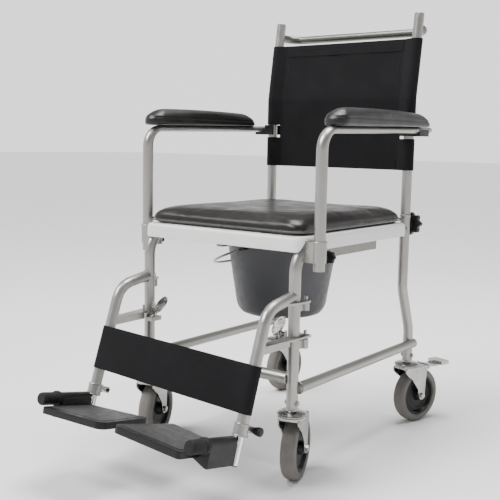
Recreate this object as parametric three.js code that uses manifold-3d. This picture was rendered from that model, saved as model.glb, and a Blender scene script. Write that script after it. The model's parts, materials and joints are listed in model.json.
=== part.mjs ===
// A wheeled commode chair: tubular frame on four castors, padded seat over a sliding pan, lift-off sling
// back, swing-away armrests and swing-away footrests. Millimetres, +Z up, the sitter faces -Y.
import * as THREE from "three";
import { mergeVertices } from "three/addons/utils/BufferGeometryUtils.js";
import Module from "manifold-3d";

const wasm = await Module();
wasm.setup();

// ---- driving dimensions ----
const GAP = 0.3; // between pieces that touch
const TUBE = 11; // outer radius of the frame tubes
const LEG_X = 184.5; // tube centre line to the middle plane
const FRONT_Y = -236; // front castor stems
const REAR_Y = 236; // rear castor stems
const BACK_Y = 197; // upper rear legs and back uprights
const LEG_FOOT_Z = 148.5; // lower ends of the legs
const SEAT_RAIL_Z = 455; // seat-level tubes
const LOWER_RAIL_Z = 188.5;
const LOWER_RAIL_X = 193.5;
const FRONT_CROSS_Z = 205;
const JOINT_Z = 489; // where the uprights plug into the rear legs
const SPIGOT = 9; // radius of the uprights' spigots
const SPIGOT_LENGTH = 60;

const SKIRT_X = 199; // outer face of the seat board's skirt
const BOARD_FRONT_Y = -241;
const BOARD_REAR_Y = 186;
const SKIRT_FOOT_Z = 444;
const DECK_Z = 468; // underside of the deck
const BOARD_TOP_Z = 472.5;

const BACK_TOP_Z = 930;
const RECLINE_Z = 745; // where the uprights start to lean back
const RECLINE = THREE.MathUtils.degToRad(8.5);
const SLING_BOTTOM_Z = 587;
const SLING_TOP_Z = 875;
const SLEEVE = 13.5; // outer radius of the sling round an upright
const PUSH_BAR_Z = 898;

const POST_X = 217.5; // armrest posts
const POST_Y = -208;
const POST_FOOT_Z = 409;
const ARM_FRONT_Z = 668;
const ARM_REAR_Z = 676;
const ARM_REAR_X = 209;
const ARM_REAR_Y = 239;
const ARM_BEND = 38;
const PAD_X = 219; // middle of the armrest pads
const PAD_FOOT_Z = 677;
const ARM_FLAT = 0.64; // height of the flattened run over its width
const SOCKET_Z = [425, 464];

const PAN_Y = -15;
const PAN_RIM = 134;
const PAN_RIM_Z = 431;
const PAN_MOUTH = 119;
const PAN_BOTTOM = 97;
const PAN_BOTTOM_Z = 276;
const PAN_RAIL_X = 128;

const WHEEL = 62.5;
const TYRE_WIDTH = 30;
const TRAIL = 33; // castor axle behind its stem
const PEDAL_PIVOT = { y: 54, z: 129 };
const WHEEL_SIDES = 20;

const HINGE_X = 194; // footrest hinge pins
const HINGE_Y = -212;
const HANGER_TOP_Z = 361;
const LOWER_ARM_Z = 284;
const LATCH_X = LEG_X - 21; // pivot of the latch lever
const LATCH_Y = FRONT_Y - 8;
const HANGER_KNEE = [-321.5, 349]; // y and z where the hanger turns down
const HANGER_LEAN = THREE.MathUtils.degToRad(19.4); // lower hanger from the vertical
const AXLE_Z = 129; // footplate axle near the foot of the inner tube
const INNER_FOOT_Z = 90;
const RIGHT_LIFT = 5; // the right footrest stands higher along its hanger than the left
const AXLE_TILT = THREE.MathUtils.degToRad(12);
const LEFT_RISE = 4; // degrees from level at which each footplate's stop holds its inner edge
const RIGHT_RISE = 1;
const INNER_TUBE = 8.5;
const CLAMP_Z = [139, 160];
const CLAMP_REACH = 29; // from the hanger's centre line back to the clamp's bolt
const CLAMP_DROP = 8; // and down from the middle of the clamp

// ---- materials ----
function finish(colour, roughness, metalness) {
  return new THREE.MeshStandardMaterial({ color: colour, roughness, metalness });
}
const silverPaint = () => finish(0xb9b5b1, 0.35, 0.6);
const greyPaint = () => finish(0x8f8c89, 0.4, 0.6);
const zinc = () => finish(0xc8c8c8, 0.25, 1);
const blackPlastic = () => finish(0x1e1d1e, 0.5, 0);
const vinyl = () => finish(0x2e2b2a, 0.4, 0);
const slingCloth = () => finish(0x27272a, 0.9, 0);
const whitePlastic = () => finish(0xf1f0ee, 0.45, 0);
const greyPlastic = () => finish(0x6b6b70, 0.5, 0);
const beigePlastic = () => finish(0xa8a49c, 0.5, 0);
const treadRubber = () => finish(0x83807b, 0.8, 0);
const blackRubber = () => finish(0x161616, 0.8, 0);

// ---- solids and geometry ----
const V = (x, y, z) => new THREE.Vector3(x, y, z);

function solid(geometry) {
  const bare = geometry.clone();
  bare.deleteAttribute("normal");
  bare.deleteAttribute("uv");
  const merged = mergeVertices(bare, 1e-4);
  return new wasm.Manifold(
    new wasm.Mesh({
      numProp: 3,
      vertProperties: merged.attributes.position.array,
      triVerts: new Uint32Array(merged.index.array),
    }),
  );
}

function geometryOf(shape) {
  const made = shape.getMesh();
  const geometry = new THREE.BufferGeometry();
  geometry.setAttribute("position", new THREE.BufferAttribute(made.vertProperties, 3));
  geometry.setIndex(new THREE.BufferAttribute(made.triVerts, 1));
  const faceted = geometry.toNonIndexed();
  faceted.computeVertexNormals();
  return faceted;
}

const join = (first, ...others) => others.reduce((whole, next) => whole.add(next), first);
const cut = (first, ...others) => others.reduce((whole, next) => whole.subtract(next), first);

// A straight round bar between two points.
function rod(from, to, radius, sides = 12, endRadius = radius) {
  const along = to.clone().sub(from);
  const bar = new THREE.CylinderGeometry(endRadius, radius, along.length(), sides);
  bar.applyQuaternion(new THREE.Quaternion().setFromUnitVectors(V(0, 1, 0), along.clone().normalize()));
  const middle = from.clone().add(to).multiplyScalar(0.5);
  return solid(bar.translate(middle.x, middle.y, middle.z));
}

function block(x, y, z) {
  const made = new THREE.BoxGeometry(x[1] - x[0], y[1] - y[0], z[1] - z[0]);
  return solid(made.translate((x[0] + x[1]) / 2, (y[0] + y[1]) / 2, (z[0] + z[1]) / 2));
}

// A path given by its own points, one step of an extrusion to each of them.
class KnotPath extends THREE.Curve {
  constructor(knots) {
    super();
    this.knots = knots;
  }
  getUtoTmapping(u) {
    return u;
  }
  getPoint(t) {
    const place = t * (this.knots.length - 1);
    const first = Math.min(Math.floor(place), this.knots.length - 2);
    return this.knots[first].clone().lerp(this.knots[first + 1], place - first);
  }
  getTangent(t) {
    const last = this.knots.length - 1;
    const here = Math.round(t * last);
    const leg = (i) => this.knots[i + 1].clone().sub(this.knots[i]).normalize();
    const before = leg(Math.max(here - 1, 0));
    const after = leg(Math.min(here, last - 1));
    return before.add(after).normalize();
  }
}

// The corners of a polyline rounded to the bend radius, in steps of about 18 degrees.
function roundedKnots(corners, bend) {
  const knots = [corners[0]];
  for (let i = 1; i < corners.length - 1; i++) {
    const into = corners[i].clone().sub(corners[i - 1]).normalize();
    const out = corners[i + 1].clone().sub(corners[i]).normalize();
    const turn = into.angleTo(out);
    const reach = bend * Math.tan(turn / 2);
    const start = corners[i].clone().addScaledVector(into, -reach);
    const normal = into.clone().cross(out).normalize();
    const centre = start.clone().addScaledVector(normal.clone().cross(into), bend);
    const steps = Math.max(2, Math.round(turn / 0.32));
    for (let k = 0; k <= steps; k++) {
      const arm = start.clone().sub(centre).applyAxisAngle(normal, (turn * k) / steps);
      knots.push(centre.clone().add(arm));
    }
  }
  knots.push(corners[corners.length - 1]);
  return knots;
}

function sweep(knots, radius, sides = 12) {
  const section = new THREE.Shape().absarc(0, 0, radius, 0, Math.PI * 2);
  return new THREE.ExtrudeGeometry(section, {
    steps: knots.length - 1,
    curveSegments: sides / 2,
    bevelEnabled: false,
    extrudePath: new KnotPath(knots),
  });
}

const tube = (corners, radius, bend, sides = 12) => solid(sweep(roundedKnots(corners, bend), radius, sides));

// Outlines, extruded along Z, along X (outline in Y and Z) and along Y (outline in X and Z).
function outline(points) {
  return new THREE.Shape(points.map(([a, b]) => new THREE.Vector2(a, b)));
}

function extruded(shape, depth, segments = 4) {
  return new THREE.ExtrudeGeometry(shape, { depth, bevelEnabled: false, curveSegments: segments });
}

const slab = (shape, z, segments) => solid(extruded(shape, z[1] - z[0], segments).translate(0, 0, z[0]));

function slabAlongX(shape, x, segments) {
  const turned = new THREE.Matrix4().makeBasis(V(0, 1, 0), V(0, 0, 1), V(1, 0, 0));
  return solid(extruded(shape, x[1] - x[0], segments).applyMatrix4(turned).translate(x[0], 0, 0));
}

function slabAlongY(shape, y, segments) {
  const turned = new THREE.Matrix4().makeBasis(V(1, 0, 0), V(0, 0, 1), V(0, -1, 0));
  return solid(extruded(shape, y[1] - y[0], segments).applyMatrix4(turned).translate(0, y[1], 0));
}

function roundedRectangle(x, y, radius) {
  const shape = new THREE.Shape();
  shape.moveTo(x[0] + radius, y[0]);
  shape.lineTo(x[1] - radius, y[0]);
  shape.absarc(x[1] - radius, y[0] + radius, radius, -Math.PI / 2, 0);
  shape.lineTo(x[1], y[1] - radius);
  shape.absarc(x[1] - radius, y[1] - radius, radius, 0, Math.PI / 2);
  shape.lineTo(x[0] + radius, y[1]);
  shape.absarc(x[0] + radius, y[1] - radius, radius, Math.PI / 2, Math.PI);
  shape.lineTo(x[0], y[0] + radius);
  shape.absarc(x[0] + radius, y[0] + radius, radius, Math.PI, Math.PI * 1.5);
  return shape;
}

// A turned solid. The profile is [radius, height] pairs, and the result stands on Z.
function turned(profile, sides = 20) {
  const points = profile.map(([r, h]) => new THREE.Vector2(r, h));
  return new THREE.LatheGeometry(points, sides).rotateX(Math.PI / 2);
}

// A knob with rounded lobes, its axis along Z, from z = 0 to its thickness.
function lobedKnob(radius, lobes, thickness) {
  const count = lobes * 4;
  const rim = [];
  for (let i = 0; i < count; i++) {
    const angle = (i / count) * Math.PI * 2;
    const r = radius * (0.9 + 0.1 * Math.cos(angle * lobes));
    rim.push([r * Math.cos(angle), r * Math.sin(angle)]);
  }
  return slab(outline(rim), [0, thickness]);
}

// ---- the scene graph ----
const chair = new THREE.Group();

function add(name, shape, material, parent = chair) {
  const geometry = shape.isBufferGeometry ? shape : geometryOf(shape);
  const mesh = new THREE.Mesh(geometry, material);
  mesh.name = name;
  parent.add(mesh);
  return mesh;
}

// A left piece and its mirror image on the right, which is returned.
function addPair(name, shape, material) {
  add(name + "_left", shape, material());
  const right = add(name + "_right", shape, material());
  right.scale.x = -1;
  return right;
}

// ---- frame ----
const rearLegCorners = [
  V(LEG_X, REAR_Y, LEG_FOOT_Z),
  V(LEG_X, REAR_Y, 224),
  V(LEG_X, BACK_Y, 322),
  V(LEG_X, BACK_Y, JOINT_Z),
];
const sideTubeCorners = [
  V(LEG_X, FRONT_Y, LEG_FOOT_Z),
  V(LEG_X, FRONT_Y, SEAT_RAIL_Z),
  V(LEG_X, BACK_Y, SEAT_RAIL_Z),
];
const rearLegSpace = tube(rearLegCorners, TUBE + GAP, 60);
const sideTubeSpace = tube(sideTubeCorners, TUBE + GAP, 50);

// A bolt through the foot of a leg, with a head on one side and a nut on the other.
function legBolt(y) {
  const z = LEG_FOOT_Z + 12;
  return join(
    rod(V(LEG_X - 15, y, z), V(LEG_X + 15, y, z), 2.5, 6),
    rod(V(LEG_X - 15, y, z), V(LEG_X - 9, y, z), 4.6, 6),
    rod(V(LEG_X + 9, y, z), V(LEG_X + 14.5, y, z), 4.6, 6),
  );
}

// Short upright sockets behind the front leg that take the footrest's hinge pins.
function hingeSocket(z) {
  const strap = block([LEG_X, HINGE_X], [FRONT_Y + 3, HINGE_Y], z);
  const sleeve = rod(V(HINGE_X, HINGE_Y, z[0]), V(HINGE_X, HINGE_Y, z[1]), 6.5, 12);
  const bore = rod(V(HINGE_X, HINGE_Y, z[0] - 1), V(HINGE_X, HINGE_Y, z[1] + 1), 3.6, 10);
  return cut(join(strap, sleeve), bore);
}

const UPPER_SOCKET_Z = [334, HANGER_TOP_Z - 12];
const LOWER_SOCKET_Z = [262, LOWER_ARM_Z - 4.5];

function sideTube() {
  const latchBar = block([LATCH_X - 6, LEG_X - 6], [FRONT_Y - 20, FRONT_Y + 8], [268, 277]);
  const whole = join(
    tube(sideTubeCorners, TUBE, 50),
    hingeSocket(UPPER_SOCKET_Z),
    hingeSocket(LOWER_SOCKET_Z),
    latchBar,
    legBolt(FRONT_Y),
  );
  const stem = rod(V(LEG_X, FRONT_Y, LEG_FOOT_Z - 1), V(LEG_X, FRONT_Y, LEG_FOOT_Z + 8), 5.5, 10);
  const latchScrew = rod(V(LATCH_X, LATCH_Y, 267), V(LATCH_X, LATCH_Y, 278), 2.9, 10);
  return cut(whole, rearLegSpace, stem, latchScrew);
}

const KNOB_Z = 467;

function rearLeg() {
  const collar = rod(V(LEG_X, BACK_Y, JOINT_Z - 6), V(LEG_X, BACK_Y, JOINT_Z), TUBE + 0.9);
  const socket = rod(V(LEG_X, BACK_Y, JOINT_Z - SPIGOT_LENGTH - 1), V(LEG_X, BACK_Y, JOINT_Z + 1), SPIGOT + GAP);
  const stem = rod(V(LEG_X, REAR_Y, LEG_FOOT_Z - 1), V(LEG_X, REAR_Y, LEG_FOOT_Z + 8), 5.5, 10);
  const screw = rod(V(LEG_X, BACK_Y, KNOB_Z), V(LEG_X, BACK_Y + 20, KNOB_Z), 4.4, 10);
  return cut(join(tube(rearLegCorners, TUBE, 60), collar, legBolt(REAR_Y)), socket, stem, screw);
}

function lowerRail() {
  const front = V(LOWER_RAIL_X, FRONT_Y + 1, LOWER_RAIL_Z);
  const rear = V(LOWER_RAIL_X, REAR_Y + 7, LOWER_RAIL_Z);
  const tip = V(LOWER_RAIL_X, REAR_Y + 13, LOWER_RAIL_Z);
  const rail = join(rod(front, rear, 10.5), rod(rear, tip, 10.5, 16, 6));
  return cut(rail, sideTubeSpace, rearLegSpace);
}

function crossTube(y, z, radius, spaces) {
  const half = join(rod(V(0, y, z), V(LEG_X, y, z), radius));
  return cut(join(half, half.mirror([1, 0, 0])), ...spaces, ...spaces.map((s) => s.mirror([1, 0, 0])));
}

// An obround sleeve, welded outside the bend of the side tube, that takes the armrest's post.
function armrestSocket() {
  const sleeve = new THREE.Shape();
  sleeve.absarc(POST_X, POST_Y, 13.5, -Math.PI / 2, Math.PI / 2);
  sleeve.absarc(POST_X - 24, POST_Y, 13.5, Math.PI / 2, Math.PI * 1.5);
  const bore = rod(V(POST_X, POST_Y, SOCKET_Z[0] - 1), V(POST_X, POST_Y, SOCKET_Z[1] + 1), TUBE + GAP, 16);
  const pinHole = rod(V(POST_X, POST_Y + 5, 432), V(POST_X, POST_Y + 20, 432), 3.4, 10);
  return cut(slab(sleeve, SOCKET_Z, 5), bore, pinHole, sideTubeSpace);
}

function panRail() {
  const section = outline([
    [PAN_RAIL_X - 6, 412],
    [PAN_RAIL_X + 12, 412],
    [PAN_RAIL_X + 12, DECK_Z - GAP],
    [PAN_RAIL_X - 2, DECK_Z - GAP],
    [PAN_RAIL_X - 2, 438],
    [PAN_RAIL_X + 7.5, 438],
    [PAN_RAIL_X + 7.5, 429],
    [PAN_RAIL_X - 6, 429],
  ]);
  return slabAlongY(section, [-70, 150]);
}

function addFrame() {
  addPair("side_tube", sideTube(), silverPaint);
  addPair("rear_leg", rearLeg(), silverPaint);
  addPair("lower_rail", lowerRail(), silverPaint);
  addPair("armrest_socket", armrestSocket(), silverPaint);
  addPair("pan_rail", panRail(), beigePlastic);
  add("front_cross_tube", crossTube(FRONT_Y, FRONT_CROSS_Z, TUBE, [sideTubeSpace]), silverPaint());
  add("seat_cross_front", crossTube(-165, SEAT_RAIL_Z, 9, [sideTubeSpace]), silverPaint());
  add("seat_cross_rear", crossTube(BACK_Y, SEAT_RAIL_Z, 10, [rearLegSpace, sideTubeSpace]), silverPaint());
}

// ---- seat ----
function seatBoard() {
  const x = [-SKIRT_X, SKIRT_X];
  const y = [BOARD_FRONT_Y, BOARD_REAR_Y];
  const wall = 2.6;
  const body = slab(roundedRectangle(x, y, 22), [SKIRT_FOOT_Z, BOARD_TOP_Z]);
  const inside = roundedRectangle([x[0] + wall, x[1] - wall], [y[0] + wall, y[1] + 30], 20);
  const aperture = new THREE.Shape().absellipse(0, PAN_Y - 5, 95, 118, 0, Math.PI * 2);
  // the skirt is arched over the bend of each side tube
  const arch = outline([
    [FRONT_Y + 2, SKIRT_FOOT_Z - 1],
    [FRONT_Y + 2, SKIRT_FOOT_Z + 6],
    [POST_Y - 16, SOCKET_Z[1] + 2],
    [POST_Y + 12, SOCKET_Z[1] + 2],
    [POST_Y + 17, SOCKET_Z[1] - 4],
    [POST_Y + 17, SKIRT_FOOT_Z - 1],
  ]);
  return cut(
    body,
    slab(inside, [SKIRT_FOOT_Z - 1, DECK_Z]),
    slab(aperture, [DECK_Z - 1, BOARD_TOP_Z + 1], 14),
    slabAlongX(arch, [SKIRT_X - 8, SKIRT_X + 1]),
    slabAlongX(arch, [-SKIRT_X - 1, -SKIRT_X + 8]),
    block([-LEG_X - 12, -LEG_X + 12], [BACK_Y - 12, BACK_Y + 20], [400, 500]),
    block([LEG_X - 12, LEG_X + 12], [BACK_Y - 12, BACK_Y + 20], [400, 500]),
  );
}

// A low dome on a rounded rectangle: layers of [inset, height] that draw in towards the top. The ends draw
// in more than the sides when the taper is over 1.
function cushionBlock(x, y, corner, layers, taper = 1) {
  const rings = layers.map(([inset, height]) => {
    const radius = Math.min(corner, (x[1] - x[0]) / 2 - inset - 0.5);
    const end = inset * taper;
    const shape = roundedRectangle([x[0] + inset, x[1] - inset], [y[0] + end, y[1] - end], radius);
    return shape.extractPoints(3).shape.map((p) => V(p.x, p.y, height));
  });
  return loft(rings);
}

// Closes a stack of rings, all with the same number of points and turning the same way, into one skin.
function loft(rings) {
  const count = rings[0].length;
  const corners = rings.flat();
  const faces = [];
  for (let layer = 0; layer < rings.length - 1; layer++) {
    for (let i = 0; i < count; i++) {
      const a = layer * count + i;
      const b = layer * count + ((i + 1) % count);
      faces.push(a, b, b + count, a, b + count, a + count);
    }
  }
  const flat = rings[0].map((p) => new THREE.Vector2(p.x, p.y));
  const lid = THREE.ShapeUtils.triangulateShape(flat, []);
  const top = (rings.length - 1) * count;
  for (const [a, b, c] of lid) {
    faces.push(a, c, b);
    faces.push(top + a, top + b, top + c);
  }
  const geometry = new THREE.BufferGeometry().setFromPoints(corners);
  geometry.setIndex(faces);
  return solid(geometry);
}

function addSeat() {
  add("seat_board", seatBoard(), whitePlastic());
  const x = [-SKIRT_X + 1, SKIRT_X - 1];
  const y = [BOARD_FRONT_Y + 1, BOARD_REAR_Y - 5];
  const foot = BOARD_TOP_Z + GAP;
  const layers = [
    [3, foot],
    [0, foot + 5],
    [0, foot + 14],
    [6, foot + 22],
    [18, foot + 29],
    [60, foot + 36],
  ];
  add("seat_cushion", cushionBlock(x, y, 26, layers), vinyl());
}

// ---- back ----
const backTopY = BACK_Y + (BACK_TOP_Z - RECLINE_Z) * Math.tan(RECLINE);
const uprightCorners = [
  V(LEG_X, BACK_Y, JOINT_Z + GAP),
  V(LEG_X, BACK_Y, RECLINE_Z),
  V(LEG_X, backTopY, BACK_TOP_Z),
];
const uprightY = (z) => BACK_Y + Math.max(0, z - RECLINE_Z) * Math.tan(RECLINE);

function upright() {
  const spigot = rod(V(LEG_X, BACK_Y, JOINT_Z - SPIGOT_LENGTH), V(LEG_X, BACK_Y, JOINT_Z + 4), SPIGOT);
  return join(tube(uprightCorners, TUBE, 80), spigot);
}

function pushBar() {
  const rearY = backTopY + 48;
  const corners = [
    V(-LEG_X, uprightY(PUSH_BAR_Z), PUSH_BAR_Z),
    V(-LEG_X, rearY, PUSH_BAR_Z - 3),
    V(LEG_X, rearY, PUSH_BAR_Z - 3),
    V(LEG_X, uprightY(PUSH_BAR_Z), PUSH_BAR_Z),
  ];
  const space = tube(uprightCorners, TUBE + GAP, 80);
  return cut(tube(corners, 9, 36), space, space.mirror([1, 0, 0]));
}

// The woven back: a sleeve round each upright and a flat panel between them.
function backSling() {
  const strip = [SLING_BOTTOM_Z, RECLINE_Z, SLING_TOP_Z];
  const front = strip.map((z) => [uprightY(z) - 2.5, z]);
  const rear = strip.map((z) => [uprightY(z) + 2.5, z]).reverse();
  const panel = slabAlongX(outline([...front, ...rear]), [-LEG_X + 11, LEG_X - 11]);
  const line = strip.map((z) => V(LEG_X, uprightY(z), z));
  const sleeve = tube(line, SLEEVE, 80);
  const bore = tube([V(LEG_X, BACK_Y, 500), line[1], V(LEG_X, backTopY, BACK_TOP_Z)], TUBE + 0.5, 80);
  const cutout = block([LEG_X - 23, LEG_X + 20], [BACK_Y - 20, BACK_Y + 20], [656, 686]);
  const half = cut(sleeve, bore, cutout);
  const opening = join(bore, cutout);
  return join(cut(panel, opening, opening.mirror([1, 0, 0])), half, half.mirror([1, 0, 0]));
}

function starKnob() {
  const turn = new THREE.Matrix4().makeRotationX(-Math.PI / 2);
  const knob = lobedKnob(26, 8, 17);
  const screw = rod(V(0, 0, -12), V(0, 0, 1), 4, 10);
  const hub = rod(V(0, 0, -7), V(0, 0, 1), 8, 14);
  return join(knob, screw, hub)
    .transform(turn.elements)
    .translate(LEG_X, BACK_Y + 21.5, KNOB_Z);
}

function addBack() {
  addPair("back_upright", upright(), silverPaint);
  add("push_bar", pushBar(), greyPaint());
  add("back_sling", backSling(), slingCloth());
  addPair("star_knob", starKnob(), blackPlastic);
}

// ---- armrests ----
const armCorners = [
  V(POST_X, POST_Y, POST_FOOT_Z),
  V(POST_X, POST_Y, ARM_FRONT_Z),
  V(ARM_REAR_X, ARM_REAR_Y, ARM_REAR_Z),
];
const armZ = (y) => ARM_FRONT_Z + ((ARM_REAR_Z - ARM_FRONT_Z) * (y - POST_Y)) / (ARM_REAR_Y - POST_Y);
const armX = (y) => POST_X + ((ARM_REAR_X - POST_X) * (y - POST_Y)) / (ARM_REAR_Y - POST_Y);

// The post is round; the tube is pressed flatter through the bend, and the run over it is a flat oval.
function armTube(radius) {
  const geometry = sweep(roundedKnots(armCorners, ARM_BEND), radius);
  const place = geometry.getAttribute("position");
  const centre = { y: POST_Y + ARM_BEND, z: ARM_FRONT_Z - ARM_BEND };
  for (let i = 0; i < place.count; i++) {
    const y = place.getY(i);
    const z = place.getZ(i);
    if (y > centre.y) {
      place.setZ(i, armZ(y) + (z - armZ(y)) * ARM_FLAT);
    } else if (z > centre.z) {
      const reach = Math.hypot(y - centre.y, z - centre.z);
      const turn = Math.atan2(z - centre.z, centre.y - y) / (Math.PI / 2);
      const flat = 1 + (ARM_FLAT - 1) * turn;
      const pressed = (ARM_BEND + (reach - ARM_BEND) * flat) / reach;
      place.setY(i, centre.y + (y - centre.y) * pressed);
      place.setZ(i, centre.z + (z - centre.z) * pressed);
    }
  }
  return solid(geometry);
}

function armPad(y) {
  const half = 25;
  const layers = [
    [2, PAD_FOOT_Z],
    [0, PAD_FOOT_Z + 5],
    [0, PAD_FOOT_Z + 17],
    [4, PAD_FOOT_Z + 26],
    [10, PAD_FOOT_Z + 34],
    [20, PAD_FOOT_Z + 39],
  ];
  const pad = cushionBlock([PAD_X - half, PAD_X + half], y, half, layers, 2.5);
  return cut(pad, armTube(TUBE + GAP));
}

// The clip's two prongs straddle the upright; its cradle holds the armrest's tube from below.
function armClip() {
  const z = [662, 685];
  const y = [BACK_Y - 22, BACK_Y + 22];
  const hook = block([LEG_X - 13, PAD_X - 25.5], y, [667, z[1]]);
  const cradle = block([LEG_X - 13, POST_X + 4.5], y, [z[0], PAD_FOOT_Z - GAP]);
  const slotY = [BACK_Y - 15, BACK_Y + 15];
  const slot = join(
    block([LEG_X - 20, LEG_X], slotY, [z[0] - 1, z[1] + 1]),
    rod(V(LEG_X, BACK_Y, z[0] - 1), V(LEG_X, BACK_Y, z[1] + 1), 15, 24),
  );
  return cut(join(hook, cradle), slot, armTube(TUBE + GAP));
}

function lockKnob() {
  const turn = new THREE.Matrix4().makeRotationX(-Math.PI / 2);
  const pin = rod(V(0, 0, -19), V(0, 0, 1), 3, 10);
  return join(lobedKnob(13, 7, 11), pin)
    .transform(turn.elements)
    .translate(POST_X, POST_Y + 30.5, 432);
}

function addArmrests() {
  addPair("armrest_tube", armTube(TUBE), silverPaint);
  add("armrest_pad_left", armPad([-185, 196]), vinyl());
  add("armrest_pad_right", armPad([-206, 152]), vinyl()).scale.x = -1;
  addPair("armrest_clip", armClip(), blackPlastic);
  addPair("armrest_lock_knob", lockKnob(), blackPlastic);
}

// ---- pan ----
function pan() {
  const profile = [
    [0, PAN_BOTTOM_Z],
    [PAN_BOTTOM - 24, PAN_BOTTOM_Z],
    [PAN_BOTTOM - 8, PAN_BOTTOM_Z + 7],
    [PAN_BOTTOM + 1, PAN_BOTTOM_Z + 24],
    [PAN_MOUTH, PAN_RIM_Z],
    [PAN_RIM, PAN_RIM_Z],
    [PAN_RIM, PAN_RIM_Z + 4],
    [PAN_MOUTH - 3, PAN_RIM_Z + 4],
    [PAN_BOTTOM - 2, PAN_BOTTOM_Z + 25],
    [PAN_BOTTOM - 10, PAN_BOTTOM_Z + 10],
    [PAN_BOTTOM - 26, PAN_BOTTOM_Z + 3],
    [0, PAN_BOTTOM_Z + 3],
  ];
  return turned(profile, 26).translate(0, PAN_Y, 0);
}

const BAIL = 150;
const BAIL_DROOP = THREE.MathUtils.degToRad(16);
const BAIL_Z = PAN_RIM_Z - 5;

// The wire bail hangs round the right side of the pan from two eyes under its rim.
function panHandle() {
  const knots = [V(0, -PAN_MOUTH - 3, 0)];
  const steps = 16;
  for (let i = 0; i <= steps; i++) {
    const angle = (Math.PI * i) / steps;
    knots.push(V(-BAIL * Math.sin(angle) - 4, -BAIL * Math.cos(angle), 0));
  }
  knots.push(V(0, PAN_MOUTH + 3, 0));
  const wire = sweep(knots, 2.5, 6);
  return solid(wire.rotateY(-BAIL_DROOP).translate(0, PAN_Y, BAIL_Z));
}

function addPan() {
  add("commode_pan", pan(), greyPlastic());
  add("pan_handle", panHandle(), zinc());
}

// ---- footrests ----
const hangerDown = V(0, -Math.sin(HANGER_LEAN), -Math.cos(HANGER_LEAN));
const axleForward = V(0, -Math.cos(AXLE_TILT), Math.sin(AXLE_TILT));

// The point of the lower hanger's centre line at a height.
function hangerAt(z) {
  const [y, kneeZ] = HANGER_KNEE;
  return V(LEG_X, y - (kneeZ - z) * Math.tan(HANGER_LEAN), z);
}

// The space that the front leg sweeps through a hanger as it swings away from it.
function legSweep(z) {
  const reach = Math.hypot(HINGE_X - LEG_X, HINGE_Y - FRONT_Y);
  const start = Math.atan2(FRONT_Y - HINGE_Y, LEG_X - HINGE_X);
  const end = start - Math.PI * 0.6;
  const path = new THREE.Shape();
  path.absarc(HINGE_X, HINGE_Y, reach + TUBE + 1, start, end, true);
  path.absarc(HINGE_X, HINGE_Y, reach - TUBE - 1, end, start, false);
  return join(rod(V(LEG_X, FRONT_Y, z[0]), V(LEG_X, FRONT_Y, z[1]), TUBE + 1, 16), slab(path, z));
}

function bracketPlate(z, reachY, thickness) {
  const half = 9;
  const shape = new THREE.Shape();
  shape.moveTo(LEG_X - half, reachY);
  shape.lineTo(LEG_X + half, reachY);
  shape.lineTo(HINGE_X + 9, FRONT_Y - 8);
  shape.absarc(HINGE_X, HINGE_Y, 9, 0, Math.PI * 0.75);
  shape.lineTo(LEG_X - half, FRONT_Y - 16);
  return slab(shape, [z, z + thickness]);
}

function hangerPin(socket, plateZ) {
  return rod(V(HINGE_X, HINGE_Y, socket[0] + 2), V(HINGE_X, HINGE_Y, plateZ + 12), 3.2, 10);
}

// The arm between the hanger and the latch: a channel under a plate.
function lowerArm() {
  const front = hangerAt(LOWER_ARM_Z).y;
  const rear = FRONT_Y - 25;
  const z = [LOWER_ARM_Z - 11, LOWER_ARM_Z + 1];
  return join(
    bracketPlate(LOWER_ARM_Z, front, 3.5),
    block([LEG_X - 9, LEG_X - 6.5], [front, rear], z),
    block([LEG_X + 6.5, LEG_X + 9], [front, rear], z),
    rod(V(LEG_X - 3, rear + 4, LOWER_ARM_Z), V(LEG_X - 3, rear + 4, LOWER_ARM_Z + 17), 2.5, 10),
  );
}

// The split collar at the foot of the hanger, with an ear behind that its knob squeezes.
function clampCollar() {
  const top = hangerAt(CLAMP_Z[1]);
  const foot = hangerAt(CLAMP_Z[0]);
  const middle = hangerAt((CLAMP_Z[0] + CLAMP_Z[1]) / 2);
  const half = (CLAMP_Z[1] - CLAMP_Z[0]) / 2 - 1;
  const ear = new THREE.Shape();
  ear.moveTo(middle.y, middle.z - half);
  ear.absarc(middle.y + CLAMP_REACH, middle.z - CLAMP_DROP, half - 3, -Math.PI / 2, Math.PI / 2);
  ear.lineTo(middle.y, middle.z + half - 2);
  return join(rod(foot, top, 13.5, 16), slabAlongX(ear, [LEG_X - 6, LEG_X + 6]));
}

function hanger() {
  const corners = [V(LEG_X, FRONT_Y, HANGER_TOP_Z + 2), V(LEG_X, ...HANGER_KNEE), hangerAt(CLAMP_Z[0])];
  const collar = clampCollar();
  const middle = hangerAt((CLAMP_Z[0] + CLAMP_Z[1]) / 2);
  const boltY = middle.y + CLAMP_REACH;
  const boltZ = middle.z - CLAMP_DROP;
  const arms = join(tube(corners, TUBE, 45), bracketPlate(HANGER_TOP_Z - 11.5, -272, 4), lowerArm());
  const whole = join(
    cut(arms, legSweep([200, 400])),
    hangerPin(UPPER_SOCKET_Z, HANGER_TOP_Z - 11.5),
    hangerPin(LOWER_SOCKET_Z, LOWER_ARM_Z),
    collar,
  );
  const boreFoot = hangerAt(CLAMP_Z[0] - 2);
  const boreTop = boreFoot.clone().addScaledVector(hangerDown, -135);
  const bolt = rod(V(LEG_X - 10, boltY, boltZ), V(LEG_X + 10, boltY, boltZ), 3.4, 12);
  return cut(whole, rod(boreFoot, boreTop, INNER_TUBE + 0.6, 14), bolt);
}

const axleStart = hangerAt(AXLE_Z);
const alongAxle = (s) => axleStart.clone().addScaledVector(axleForward, s);
const HOUSING = [15, 88]; // the footplate's hinge housing, from the inner tube's centre line
const CAP = [97, 131];

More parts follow.
